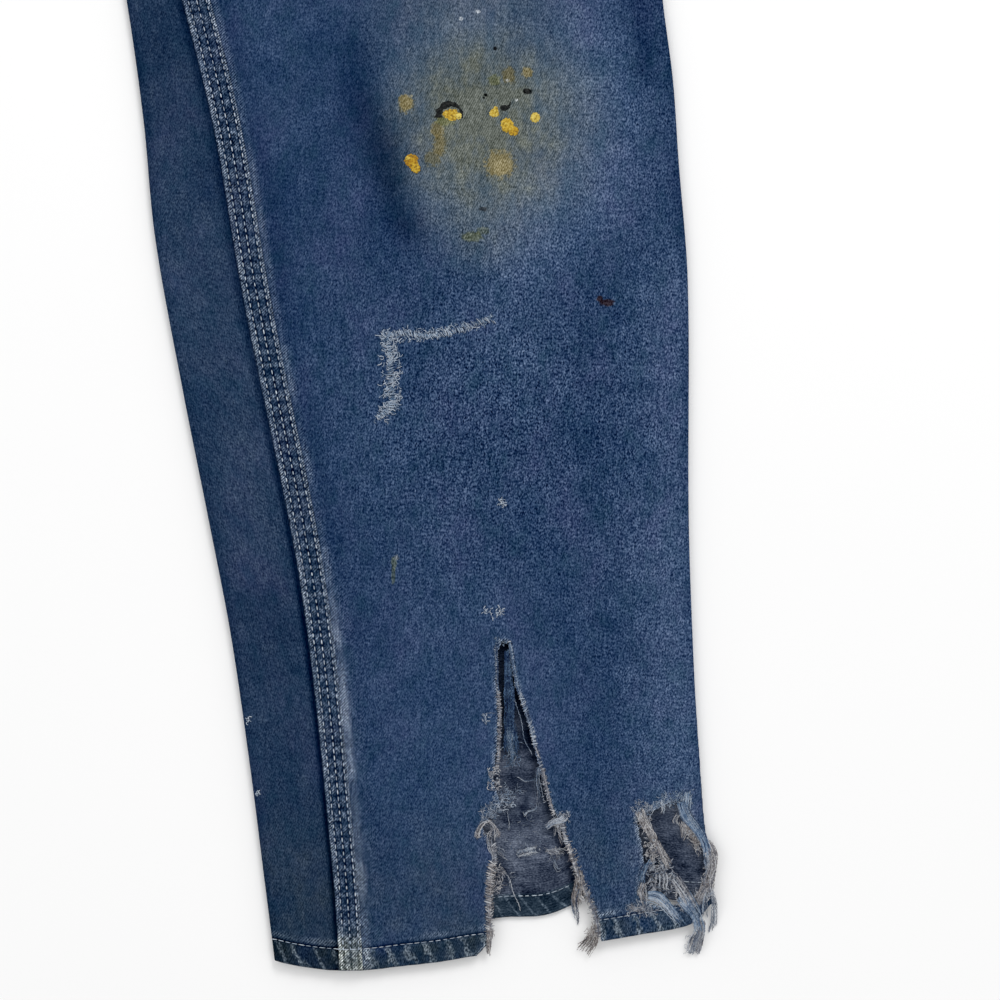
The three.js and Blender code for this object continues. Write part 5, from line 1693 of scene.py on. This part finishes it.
def long_tear_left():
    """The left edge of the long tear, from its top to the hem, and what hangs from it."""
    y = Yarns(101)
    y.ribs([(260.2, 176.4), (260.4, 169.7), (260.9, 162.4), (260.8, 155.2), (261.5, 150.4)], 1.9, 0.42, 0.3,
           0.28, roll=1)
    y.ribs([(261.5, 150), (262, 143.2), (262.2, 138.3), (262.1, 131.1), (261.9, 123.9), (261.7, 116.6),
            (260.7, 109)], 2.8, 0.5, 0.62)
    y.curls([(259, 179), (268, 180), (268, 176.5), (259, 176)], 22, 2.2, 0.13, 0.5, 0.1)
    y.curls([(256.5, 110), (262, 110), (262.5, 97), (256.5, 97)], 46, 3.4, 0.2, 0.55, 0.6, turns=2.2)
    y.curls([(259.5, 98), (266.5, 97.5), (270.5, 93.5), (269, 88), (262, 85.5), (258, 90)], 80, 3.4, 0.15,
            0.6, 0.22, sag=0.35)
    y.curls([(263, 101), (272, 99), (276, 96), (273, 92), (266, 93)], 34, 3, 0.1, 0.55, 0.2, sag=0.9)
    y.curls([(251.5, 88), (258, 90.5), (261.5, 86), (259, 81.5), (253, 80.5)], 110, 3.2, 0.12, 0.45, 0.3)
    # The hooked tuft under the fuzz.
    for shift, far in ((0, 1.0), (0.9, 0.85), (-0.7, 1.1)):
        y.bundle([(257.6, 81.2), (253.6 - shift, 79.6), (250.9 - shift, 76.2), (250.4 - shift, 72.6),
                  (251.8 - shift, 70.2 + 2 * far)], 3, 0.9, 1, 0.24, 0.5, 0.75, (0, 0.1), wild=0.2, lift=0.7)
    for end in ((261.2, 71.5), (259.3, 70.0), (256.2, 69.5)):
        y.bundle([(256.6, 80.6), (259.8 - 0.2 * (261 - end[0]), 77.6), (end[0] + 0.4, 74.2), end], 3, 0.9, 1,
                 0.24, 0.5, 0.78, (0, 0.2), wild=0.2, lift=0.6)
    y.curls([(253, 81), (260, 80), (261, 72), (253.5, 72)], 40, 3, 0.12, 0.42, 0.6, sag=0.1)
    y.bundle([(257, 69.9), (260, 66), (262.6, 64), (267.8, 59.8)], 6, 1.2, 3, 0.11, 0.5, 0.5, (0.1, 0.8))
    y.bundle([(257.2, 71), (257.6, 66.6), (259.4, 62), (259, 57.5)], 9, 2.6, 2.8, 0.18, 0.45, 0.65, (0, 0.2))
    y.ribs([(259, 68), (259.6, 63.4), (259.8, 58)], 3.4, 0.45, 0.6, lean=0.5, roll=1)
    y.ribs([(258.3, 58.2), (257.2, 52.2), (256.8, 46.4), (256.5, 39.8), (256.5, 33.3), (256.5, 26.7),
            (256.5, 19.8)], 5, 0.47, 0.8, 0.33, pitch=0.72, lean=-0.25, arch=0.8, roll=4)
    y.ribs([(259, 54), (258.2, 44), (258, 30)], 3, 0.4, 0.85, 0.24, pitch=1.3, lean=0.5, arch=1, roll=0)
    y.curls([(258, 58), (264, 55), (264.5, 47), (261, 42), (257.5, 42)], 90, 4, 0.16, 0.5, 0.75, sag=0.3,
            lift=0.8)
    y.bundle([(256.9, 23), (256.4, 15.6), (256, 8.6)], 18, 3, 2, 0.19, 0.5, 0.85, (0, 0.3))
    y.bundle([(257.9, 23), (258.4, 16)], 8, 2, 2, 0.19, 0.5, 0.85, (0, 0.3))
    y.strand([(261.9, 56.8), (267.2, 50.3), (269.1, 43.1), (272.4, 36.5), (273.1, 32)], 0.2, 0.62, 0.55,
             (0.3, 0.9))
    y.strand([(261.9, 55.8), (266.4, 50.6), (268.4, 44.1)], 0.14, 0.55, 0.55, (0.3, 0.9))
    y.curls([(266.5, 52.5), (270.5, 52.5), (270, 48), (267, 48)], 10, 2.4, 0.12, 0.55, 0.5, sag=0.8)
    # Warp that hangs inside the top of the tear, like a narrow flap.
    y.bundle([(266.8, 173), (267, 160), (267.2, 148), (267.4, 136), (266.8, 126), (266.4, 118)], 26, 2.8, 4.4,
             0.26, 0, 0, (0.15, 0.7), wild=0.5, crimp=0.3)
    y.bundle([(268.4, 156), (269, 146), (268.8, 136), (269.6, 126), (271, 117)], 14, 2.2, 3.6, 0.22, 0.12, 0,
             (0.1, 0.7), wild=0.5, crimp=0.35)
    y.bundle([(267.4, 131), (267.8, 123), (268.6, 116), (266.4, 110)], 12, 3, 5, 0.16, 0.36, 0, (0.4, 0.9),
             wild=0.7, crimp=0.4)
    y.curls([(265, 126), (272, 126), (273, 110), (266, 110)], 34, 3.6, 0.13, 0.38, 0.05, sag=0.7)
    y.strand([(270.3, 146.5), (271.8, 141.7), (273.2, 137.9), (275.2, 127.2), (277.1, 121.9), (279.5, 116.6)],
             0.17, 0.5, 0.4, (0.1, 0.2))
    y.bundle([(253, 138.8), (254.6, 137.6), (255, 134.5), (255.6, 132.6)], 4, 0.9, 1.2, 0.14, 0.7, 0.15)
    y.strand([(252.4, 138.2), (255.6, 139), (260, 139.4)], 0.12, 0.55, 0.2, (0, 0))
    # Frayed places on the back that show through the tear.
    y.bundle([(272, 62.8), (277.7, 64), (283.4, 65.4)], 22, 4, 4, 0.15, 0.52, 0.45, (1, 1), lift=0.1)
    y.curls([(271, 61), (284, 63.6), (284, 67), (271, 64.5)], 34, 2.2, 0.12, 0.55, 0.45, sag=1)
    y.bundle([(287, 64.4), (291.6, 63.6), (297, 64.2)], 12, 2.6, 3.4, 0.15, 0.46, 0.55, (1, 1), lift=0.1)
    y.curls([(287, 66), (296.5, 66), (296.5, 60), (289, 60)], 40, 2.8, 0.14, 0.48, 0.55, sag=1)
    y.bundle([(292, 59.6), (292.1, 56.2), (293.8, 53.9), (295.6, 55.2)], 4, 0.9, 1, 0.18, 0.56, 0.3, (1, 1))
    y.strand([(266.2, 86.3), (267.2, 81), (266.9, 75.8)], 0.16, 0.58, 0.3, (1, 1))
    y.bundle([(275.4, 83.2), (277.7, 85.9), (281.3, 87.3), (283.6, 91)], 5, 0.8, 1.2, 0.15, 0.4, 0.35, (1, 1))
    y.bundle([(271.8, 104.6), (276.5, 102.6), (282.5, 103.4)], 3, 0.9, 0.9, 0.11, 0.6, 0.3, (0.8, 0.5))
    y.curls([(266, 92), (283, 92), (290, 68), (262, 58)], 70, 3, 0.09, 0.36, 0.35, sag=1, turns=0.4, lift=0.1)
    return y.piece("frayed_left_edge", "fray_long_tear_inner")


def long_tear_right():
    """The right edge of the long tear, from its top to the hem, and what hangs from it."""
    y = Yarns(102)
    y.ribs([(267.4, 177.8), (268.6, 171.6), (269.8, 163.9), (270.8, 158), (271.6, 153.3), (273.9, 147.5)],
           2.4, 0.52, 0.25, 0.3, lean=0.35)
    y.ribs([(274.2, 147), (275.9, 141.7), (277.9, 135.9), (279.9, 128.7), (281.4, 122)], 3, 0.52, 0.3,
           lean=0.35)
    y.ribs([(281.4, 122), (283.2, 116.6), (284.7, 109.9)], 2.2, 0.42, 0.45, 0.28, lean=0.3)
    y.ribs([(285.4, 109), (286.6, 102), (288.3, 95.4), (289.8, 89.6), (291.4, 84.3)], 2.5, 0.47, 0.6,
           lean=0.3)
    y.curls([(283, 112), (287, 110), (291, 90), (286, 92)], 60, 2.4, 0.13, 0.45, 0.5, sag=0.1)
    y.bundle([(282.8, 110), (283, 101), (284.4, 92)], 8, 2, 3.4, 0.14, 0.42, 0.3, (0, 0.5))
    y.bundle([(287.8, 77.6), (291.4, 80.4), (295.4, 81.8), (298.4, 83)], 24, 1.6, 3.6, 0.19, 0.62, 0.45,
             wild=0.4, lift=0.6)
    y.curls([(291, 84.5), (300, 86.5), (300, 79), (293, 78)], 70, 2.6, 0.13, 0.58, 0.45)
    y.bundle([(291.6, 80.4), (292.3, 76), (291.6, 71)], 4, 0.8, 1, 0.14, 0.55, 0.5, (0, 0.7))
    y.bundle([(293.6, 80), (294.5, 73), (296.6, 67.5)], 6, 1.2, 1.6, 0.17, 0.55, 0.6, (0, 0.3))
    y.ribs([(296.4, 80), (297.2, 73.8), (298.4, 68.4)], 3.7, 0.52, 0.6, pitch=0.8, lean=-0.5, arch=0.8)
    y.ribs([(299, 68.4), (300.4, 64), (302.2, 58.6), (304, 53.2), (305.4, 48.3)], 3.2, 0.45, 0.8, pitch=0.8,
           lean=0.25, arch=0.7, roll=3)
    y.curls([(297, 72), (301, 70), (307.5, 49), (302.5, 49)], 90, 2.6, 0.13, 0.48, 0.75)
    y.bundle([(305.2, 54), (304.4, 46), (303.6, 40), (304, 35)], 22, 3.2, 5.2, 0.19, 0.34, 1, (0, 0.5),
             lift=0.6)
    y.bundle([(306.4, 52), (306, 45), (306.4, 37.4)], 16, 3, 4.6, 0.19, 0.5, 0.9, (0, 0.5), lift=0.5)
    y.bundle([(305.4, 40), (307.4, 38), (309, 39.6)], 8, 2, 2.4, 0.19, 0.62, 0.8, (0.1, 0.2))
    y.bundle([(303.6, 47), (301.6, 40.5), (301.9, 33.5), (302.9, 26.4)], 4, 0.8, 0.8, 0.2, 0.22, 0.4, (0, 1))
    y.bundle([(304.6, 45), (303.5, 37.2), (304.4, 31), (304.4, 24.8)], 4, 0.8, 0.8, 0.2, 0.26, 0.4, (0, 1))
    y.ribs([(306.2, 49.6), (308.2, 43.7), (310.8, 37.8), (312.9, 32.6), (314.6, 26.7), (315.6, 19)], 3.3,
           0.42, 0.7, pitch=0.8, lean=0.1, roll=3)
    y.curls([(306, 50), (309, 49), (317.5, 22), (313.5, 22)], 80, 2.2, 0.13, 0.45, 0.7)
    y.bundle([(313.6, 24), (311.6, 18), (307.2, 10.2)], 22, 2.6, 6.6, 0.19, 0.42, 1, (0, 0.6), lift=0.5)
    y.bundle([(314.8, 22), (313.6, 15.4), (309.6, 8.6)], 18, 2.4, 3.4, 0.19, 0.56, 1, (0, 0.6))
    y.bundle([(312, 20), (308.6, 15.8), (304.8, 12.6)], 6, 1.2, 2.4, 0.14, 0.5, 1, (0, 0.9))
    y.curls([(309, 25), (316, 25), (316, 17), (309, 17)], 40, 2.6, 0.15, 0.36, 1)
    return y.piece("frayed_right_edge", "fray_long_tear_outer")


def corner_tear_yarn():
    """The yarn round the corner tear: a beige cord down the left, a light blue band down the right."""
    y = Yarns(103)
    y.ribs([(337.2, 84.2), (340, 79.7), (342.4, 74.6), (344.2, 71)], 3.8, 0.45, 0.8, 0.24, pitch=0.75,
           lean=0.7, arch=0.8, roll=4)
    y.bundle([(337.6, 86), (340.8, 79.6), (343.6, 74), (346, 69.4)], 30, 5.4, 3.2, 0.18, 0.47, 0.85, (0, 0.2),
             wild=0.5, lift=0.6)
    y.curls([(333.5, 90), (339, 92), (345.5, 89), (344.5, 83), (338, 78), (335, 82)], 130, 3.2, 0.12, 0.48,
            0.35)
    y.curls([(337, 82), (343, 84), (346.5, 72), (342, 70)], 60, 3.4, 0.15, 0.45, 0.8)
    y.curls([(340.5, 71), (347, 71), (347.5, 61), (341.5, 61)], 70, 3.4, 0.19, 0.52, 0.75, turns=2, lift=0.8)
    y.bundle([(346.2, 70.2), (349, 65.4), (351.4, 60.8), (353.8, 56)], 22, 2.6, 3, 0.2, 0.46, 0.8, (0, 0.1),
             wild=0.4, lift=0.5)
    y.bundle([(345.1, 65), (344.8, 59.9), (344.4, 56)], 9, 2.2, 2, 0.18, 0.56, 0.8, (0, 0.4))
    y.curls([(341.5, 57), (346, 60), (354, 58), (357.5, 51), (356, 42.5), (344, 42.5)], 230, 4.2, 0.17, 0.52,
            0.5, sag=0.2, turns=2.2, lift=0.9)
    for x in (346.4, 348.6, 350.4, 352.6):
        y.bundle([(x, 52.4), (x + 0.2, 49), (x - 0.2, 45.2), (x + 1.4, 44)], 3, 0.6, 0.6, 0.2, 0.64, 0.55,
                 (0, 0.1), wild=0.15, lift=0.9)
    y.bundle([(344.2, 59.6), (341, 55.6), (339.4, 50.6), (340.2, 46)], 11, 1.8, 2.2, 0.22, 0.36, 0.1,
             (0.2, 0.2))
    y.bundle([(340.4, 58.4), (337.6, 50), (338.4, 44)], 5, 1.2, 1.2, 0.16, 0.14, 0)
    y.bundle([(339.4, 47.6), (338, 42), (340.4, 36.6)], 16, 3, 3, 0.2, 0.46, 0.75)
    y.strand([(341, 47.5), (341.4, 41.5), (341.2, 35.6)], 0.2, 0.75, 0.5, (0, 0), lift=0.4)
    y.bundle([(342.1, 41.2), (347.6, 40.8), (351.9, 37.3), (355.6, 32.4), (360.3, 25.6)], 18, 4, 3, 0.19, 0.5,
             0.08, wild=0.35, crimp=0.12)
    y.bundle([(342.6, 39), (347.6, 37.4), (352, 33.6), (357.6, 27.6)], 10, 3, 3, 0.18, 0.66, 0.25)
    y.curls([(331.5, 35.5), (341.5, 37.5), (349, 34), (347, 30.5), (331, 31.5)], 90, 3.6, 0.14, 0.52, 0.45,
            turns=1.6)
    y.bundle([(341, 34.6), (336, 33.4), (331.6, 35.6)], 8, 2, 2.6, 0.16, 0.6, 0.6)
    y.bundle([(356.6, 50), (360.6, 44.6), (364.2, 38.5), (366.9, 32.3)], 26, 4.8, 5, 0.2, 0.48, 0.62,
             wild=0.5, lift=0.4)
    y.bundle([(361, 41), (365, 35), (368.6, 29.6), (370.4, 22)], 34, 8.4, 5, 0.21, 0.5, 0.06, wild=0.45,
             lift=0.4, crimp=0.12)
    y.curls([(355, 48), (361, 48), (368, 36), (362, 32), (358, 36)], 110, 3, 0.16, 0.52, 0.6, turns=1.6)
    # The light blue band of felted warp down the upper right.
    y.bundle([(360.3, 91), (362.2, 84.9), (366.3, 79.1), (370.8, 73.5), (373.6, 68), (374.2, 62)], 40, 5, 3.4,
             0.24, 0.4, 0.03, wild=0.35, crimp=0.1)
    y.bundle([(360.6, 90), (363.4, 83.4), (368.2, 76.2), (372.4, 69.4)], 9, 5.4, 3.8, 0.12, 0.72, 0.2,
             wild=0.4, lift=0.6)
    y.bundle([(363.5, 96.4), (363.4, 92.4), (363, 87.6)], 16, 3, 4, 0.18, 0.46, 0.04)
    y.curls([(345, 92), (352, 96), (366, 98), (366, 90), (347, 88.5)], 170, 2.6, 0.12, 0.5, 0.1)
    y.bundle([(349.8, 91.4), (350.7, 88), (350.1, 84.4)], 12, 2, 1.6, 0.17, 0.74, 0.3, (0, 0.5))
    y.bundle([(358.4, 84.6), (356.9, 80.8), (358.5, 77.6)], 10, 2.2, 2, 0.16, 0.6, 0.6, (0, 0.5))
    y.bundle([(361.4, 80.5), (361.8, 75), (361.2, 70.6)], 12, 3, 2.4, 0.17, 0.5, 0.8, (0, 0.5))
    y.bundle([(362.4, 80.7), (365.4, 75.1), (367.8, 70.6), (369, 65.4)], 26, 3.4, 3.8, 0.18, 0.38, 0.9,
             (0, 0.4), wild=0.5)
    y.curls([(361, 81), (366, 78), (372, 67), (369, 63), (362, 74)], 70, 3, 0.13, 0.45, 0.75)
    y.bundle([(374.4, 69.6), (376.9, 63.6), (377, 56), (375.4, 48.6), (374.6, 41)], 30, 3.2, 4.2, 0.19, 0.38,
             0.8, (0, 0.1), wild=0.55, lift=0.4)
    y.bundle([(374.6, 66), (375.4, 58), (374.2, 50)], 12, 2.4, 3, 0.15, 0.6, 0.4, (0, 0.1))
    y.curls([(373, 66), (378, 62), (377, 50), (374, 42), (371, 44), (374, 56)], 130, 3, 0.14, 0.46, 0.7,
            turns=1.5)
    y.bundle([(373.6, 47.6), (371, 42.4), (368.2, 37)], 24, 4.4, 3.6, 0.18, 0.44, 0.75, wild=0.5)
    y.curls([(366, 43), (375, 47), (376, 38), (367, 35)], 90, 2.8, 0.15, 0.48, 0.6, turns=1.6)
    y.bundle([(374.1, 43), (373, 35.3), (373.4, 25.8)], 7, 2.2, 3, 0.16, 0.66, 0.3, (0, 1))
    y.bundle([(376, 44.5), (378.2, 36), (378, 29), (376.8, 20.3)], 14, 2, 3.4, 0.18, 0.56, 0.5, (0, 1))
    return y.piece("frayed_corner", "fray_corner_tear")


def tassel():
    """The tassel that hangs below the hem at the corner."""
    y = Yarns(104)
    y.bundle([(369.2, 28), (369.6, 21.5), (367.2, 16), (365, 9.4)], 26, 5.6, 3.4, 0.22, 0.48, 0.55, (0, 0.75),
             wild=0.4)
    y.bundle([(371, 27), (371.2, 20), (370, 15), (369, 8.6)], 20, 4, 2.4, 0.22, 0.52, 0.55, (0, 0.75),
             wild=0.4)
    y.curls([(363, 20), (371, 20), (370, 9), (363, 9)], 40, 3, 0.12, 0.55, 0.55, sag=0.8)
    return y.piece("hanging_tassel", "fray_tassel")


def closed_slit():
    """The closed tear below the knee: two runs at a right angle, felted over with short pale loops."""
    y = Yarns(105)
    across = [(255.4, 351.4), (249.6, 349.9), (241.9, 346.7), (232.7, 344.0), (221.9, 342.9), (211.1, 344.5),
              (199.8, 343.4)]
    down = [(202.0, 342.9), (203.0, 327.2), (203.6, 316.4), (204.7, 308.3), (202.0, 302.9), (196.6, 298.6)]
    for pitch, length, radius, tone in ((1.0, 4.2, 0.31, 0.46), (1.5, 5.2, 0.23, 0.78)):
        y.ribs(across, length * 0.82, tone, 0.1, radius, pitch=pitch, lean=0.45, arch=0.7, roll=0)
        y.ribs(down, length, tone, 0.1, radius, pitch=pitch, lean=0.3, arch=0.7, roll=0)
    y.curls([(198, 346.4), (212, 347.4), (222, 346), (246, 350.6), (259, 354.4), (259, 350.6), (246, 346),
             (222, 340.6), (198, 340.6)], 190, 2.9, 0.18, 0.68, 0.08)
    y.curls([(197.8, 345), (208, 345), (209.4, 306), (202, 296.5), (193, 297), (199, 306)], 220, 3.5, 0.2,
            0.72, 0.15)
    for angle in np.linspace(0.3, 6.0, 11):
        tip = (205.2 + 3.6 * math.cos(angle), 307.0 + 3.6 * math.sin(angle))
        y.strand([(205.2, 307), tip], 0.2, 0.95, 0.1, (0, 0))
    return y.piece("closed_slit_loops")


def white_nicks():
    """Small places where a few yarns were pulled up."""
    y = Yarns(106)
    for x, v, count in ((264, 253, 20), (255.4, 195, 11), (262, 194.4, 13), (258.5, 191.5, 5),
                        (126.4, 136, 9), (131.8, 96, 9), (254.9, 136, 4)):
        y.curls([(x - 1.9, v - 1.7), (x + 1.9, v - 1.7), (x + 1.9, v + 1.7), (x - 1.9, v + 1.7)], count, 2.4,
                0.19, 0.92, 0.12)
    return y.piece("pulled_yarns")


long_tear_left()
long_tear_right()
corner_tear_yarn()
tassel()
closed_slit()
white_nicks()


# ---- Paint ----
def paint_finish():
    """Dried oil paint: hue runs from orange through yellow to cream, and black is 1 for black paint."""
    f = Finish("dried paint")
    hue, black = f.mask("hue"), f.mask("black")
    where = f.position()
    lumps = f.noise(f.stretched(where, 800, 800), detail=3, rough=0.6)
    shade = (hue + (lumps - 0.5) * 2.2).clamped()
    warm = f.mix((shade * 2.0).clamped(), (0.3, 0.13, 0.01), (0.52, 0.335, 0.03))
    colour = f.mix((shade * 2.0 - 1.0).clamped(), warm, (0.7, 0.57, 0.15))
    # Painted shade: dark olive in the low places of the lumps, which also make the bump.
    colour = f.mix((lumps.step(0.5, 0.34)) * 0.7, colour, (0.16, 0.13, 0.035))
    colour = f.mix(black, colour, f.mix(lumps.step(0.35, 0.75), (0.003, 0.004, 0.005), (0.03, 0.032, 0.03)))
    return f.surface(Base_Color=colour, Roughness=0.7, Specular_IOR_Level=0.08,
                     Normal=f.bump(lumps, 0.0008, 0.9))


PAINT = paint_finish()
DROP_RINGS, DROP_SIDES = 8, 44
# How far out each ring of a drop is, from its rim to its top, and how high it stands there, as shares.
RING_SHARES = (1 - (np.arange(DROP_RINGS) / (DROP_RINGS - 1)) ** 1.4 * 0.97)[:, None]
DOME = np.sqrt(np.clip(1 - RING_SHARES**2, 0, 1))


def blob(points, faces, masks, ring_points, hue, black):
    """Adds a closed lump: rings from its rim to its top, each end closed by a strip across it."""
    base = sum(len(part) for part in points)
    rings, sides = ring_points.shape[:2]
    r, k = np.meshgrid(np.arange(rings - 1), np.arange(sides), indexing="ij")
    a, b = (r * sides + k).ravel(), (r * sides + (k + 1) % sides).ravel()
    c, d = a + sides, b + sides
    near = np.arange(sides // 2 - 1)
    far = sides - 1 - near
    strip = np.concatenate([np.stack([near, near + 1, far], 1), np.stack([near + 1, far - 1, far], 1)])
    points.append(ring_points.reshape(-1, 3))
    faces += [base + np.stack([a, b, d], 1), base + np.stack([a, d, c], 1), base + strip[:, ::-1],
              base + strip + (rings - 1) * sides]
    masks["hue"].append(np.full(rings * sides, hue))
    masks["black"].append(np.full(rings * sides, black))


def rounded(middle, half, thick, seed, lumpy, turn=0.0):
    """Rings of a drop with an uneven rim."""
    rng = np.random.default_rng(seed)
    angle = np.arange(DROP_SIDES) * math.tau / DROP_SIDES
    rim = 1 + sum(lumpy / n * np.cos(n * angle + rng.uniform(0, 6.28)) for n in (2, 3, 4, 5, 7))
    rim += 0.05 * np.cos(9 * angle + rng.uniform(0, 6.28)) + 0.05 * np.cos(13 * angle + rng.uniform(0, 6.28))
    u, v = half[0] * np.cos(angle) * rim, half[1] * np.sin(angle) * rim
    x = middle[0] + RING_SHARES * (u * math.cos(turn) - v * math.sin(turn))
    y = middle[1] + RING_SHARES * (u * math.sin(turn) + v * math.cos(turn))
    return x, y, thick * DOME * (1 + 0.35 * cloud(x, y, 1.6, seed))


def smear(path, widths, thick, seed):
    """Rings of a smear that follows a path with the widths given at even steps along it."""
    middle = smooth_route(path, 0.5)
    t = np.linspace(0, 1, len(middle))
    half = smooth(list(zip(np.linspace(0, 1, len(widths)), widths)))(t) / 2
    half = half * (1 + 0.4 * cloud(t * 40, 0 * t, 2, seed))
    normal = beside(middle)
    right, left = middle - normal * half[:, None], middle + normal * half[:, None]
    loop = np.concatenate([right, left[::-1]])
    centre = np.concatenate([middle, middle[::-1]])
    x, y = (centre[:, k] + RING_SHARES * (loop - centre)[:, k] for k in range(2))
    return x, y, thick * DOME * (1 + 0.3 * cloud(x, y, 1.8, seed))


def paint():
    """The thick paint that stands on the knee."""
    points, faces, masks = [], [], {"hue": [], "black": []}
    knee = Faces("front_left")
    angles = np.radians(np.linspace(186, -8, 14))
    arc = [(235.6 + 6.4 * math.cos(a), 461.4 + 6.6 * math.sin(a)) for a in angles]
    lumps = [
        (rounded((214.6, 437.4), (4.0, 3.6), 0.7, 1, 0.1, 0.6), 0.15, 0),
        (rounded((216.8, 433.6), (2.7, 3.0), 0.8, 2, 0.1), 0.4, 0),
        (rounded((212.9, 438.8), (1.7, 1.3), 1.1, 3, 0.08), 0.62, 0),
        (rounded((236.3, 462.2), (4.9, 3.6), 0.3, 4, 0.14, -0.2), 0.42, 0),
        (rounded((240.1, 461.5), (1.8, 1.9), 0.75, 5, 0.06), 0.95, 0),
        (rounded((259.3, 463.2), (2.9, 2.3), 0.6, 6, 0.14), 0.62, 0),
        (rounded((260.0, 465.4), (1.3, 1.4), 0.6, 7, 0.1), 0.55, 0),
        (rounded((266.3, 456.6), (3.7, 3.9), 0.85, 8, 0.08), 0.5, 0),
        (rounded((269.8, 453.4), (2.7, 2.8), 0.5, 9, 0.12), 0.3, 0),
        (rounded((281.4, 460.7), (2.6, 2.9), 0.8, 10, 0.06), 0.75, 0),
        (rounded((277.0, 475.0), (1.7, 1.3), 0.35, 11, 0.15, -0.6), 0, 1),
        (rounded((264.9, 466.0), (2.6, 1.7), 0.5, 12, 0.15, 0.2), 0, 1),
        (smear([(265.0, 466.2), (267.4, 467.3), (268.2, 469.2)], (1.5, 1.3, 0.5), 0.4, 13), 0, 1),
        (smear(arc, (4.4, 4.0, 3.6, 3.0, 2.2, 1.5, 1.0), 0.45, 14), 0, 1),
    ]
    for (x, y, rise), hue, black in lumps:
        ground = knee.height(x.ravel(), y.ravel()).reshape(x.shape)
        blob(points, faces, masks, np.stack([x, y, ground - 0.12 + rise], -1), hue, black)
    piece = make_mesh("thick_paint", np.concatenate(points), np.concatenate(faces), [PAINT],
                      masks={key: np.concatenate(parts) for key, parts in masks.items()})
    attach(piece, "root")


paint()


# ---- Metal ----
def metal_finish():
    """Brass, dulled by age and washing, with fine scratches and some tarnish in the hollows."""
    f = Finish("dull brass")
    where = f.position()
    blotch = f.noise(f.stretched(where, 260, 260), detail=4, rough=0.65)
    scratch = f.noise(f.stretched(where, 300, 4200, 3), detail=2, rough=0.6)
    colour = f.mix(blotch.step(0.4, 0.66), (0.3, 0.265, 0.205), (0.545, 0.495, 0.395))
    colour = f.mix(blotch.step(0.34, 0.22) * 0.7, colour, (0.13, 0.07, 0.035))
    rough = (blotch * 0.35 + scratch * 0.25 + 0.12).clamped()
    return f.surface(Base_Color=colour, Metallic=0.9, Roughness=rough, Normal=f.bump(scratch, 0.00008, 0.5))


METAL = metal_finish()
for part in ("slider", "clasp", "bib_button", "side_button_low", "side_button_high"):
    for side in ("left", "right"):
        fitting = bpy.data.objects[f"{part}_{side}"]
        fitting.data.materials.clear()
        fitting.data.materials.append(METAL)
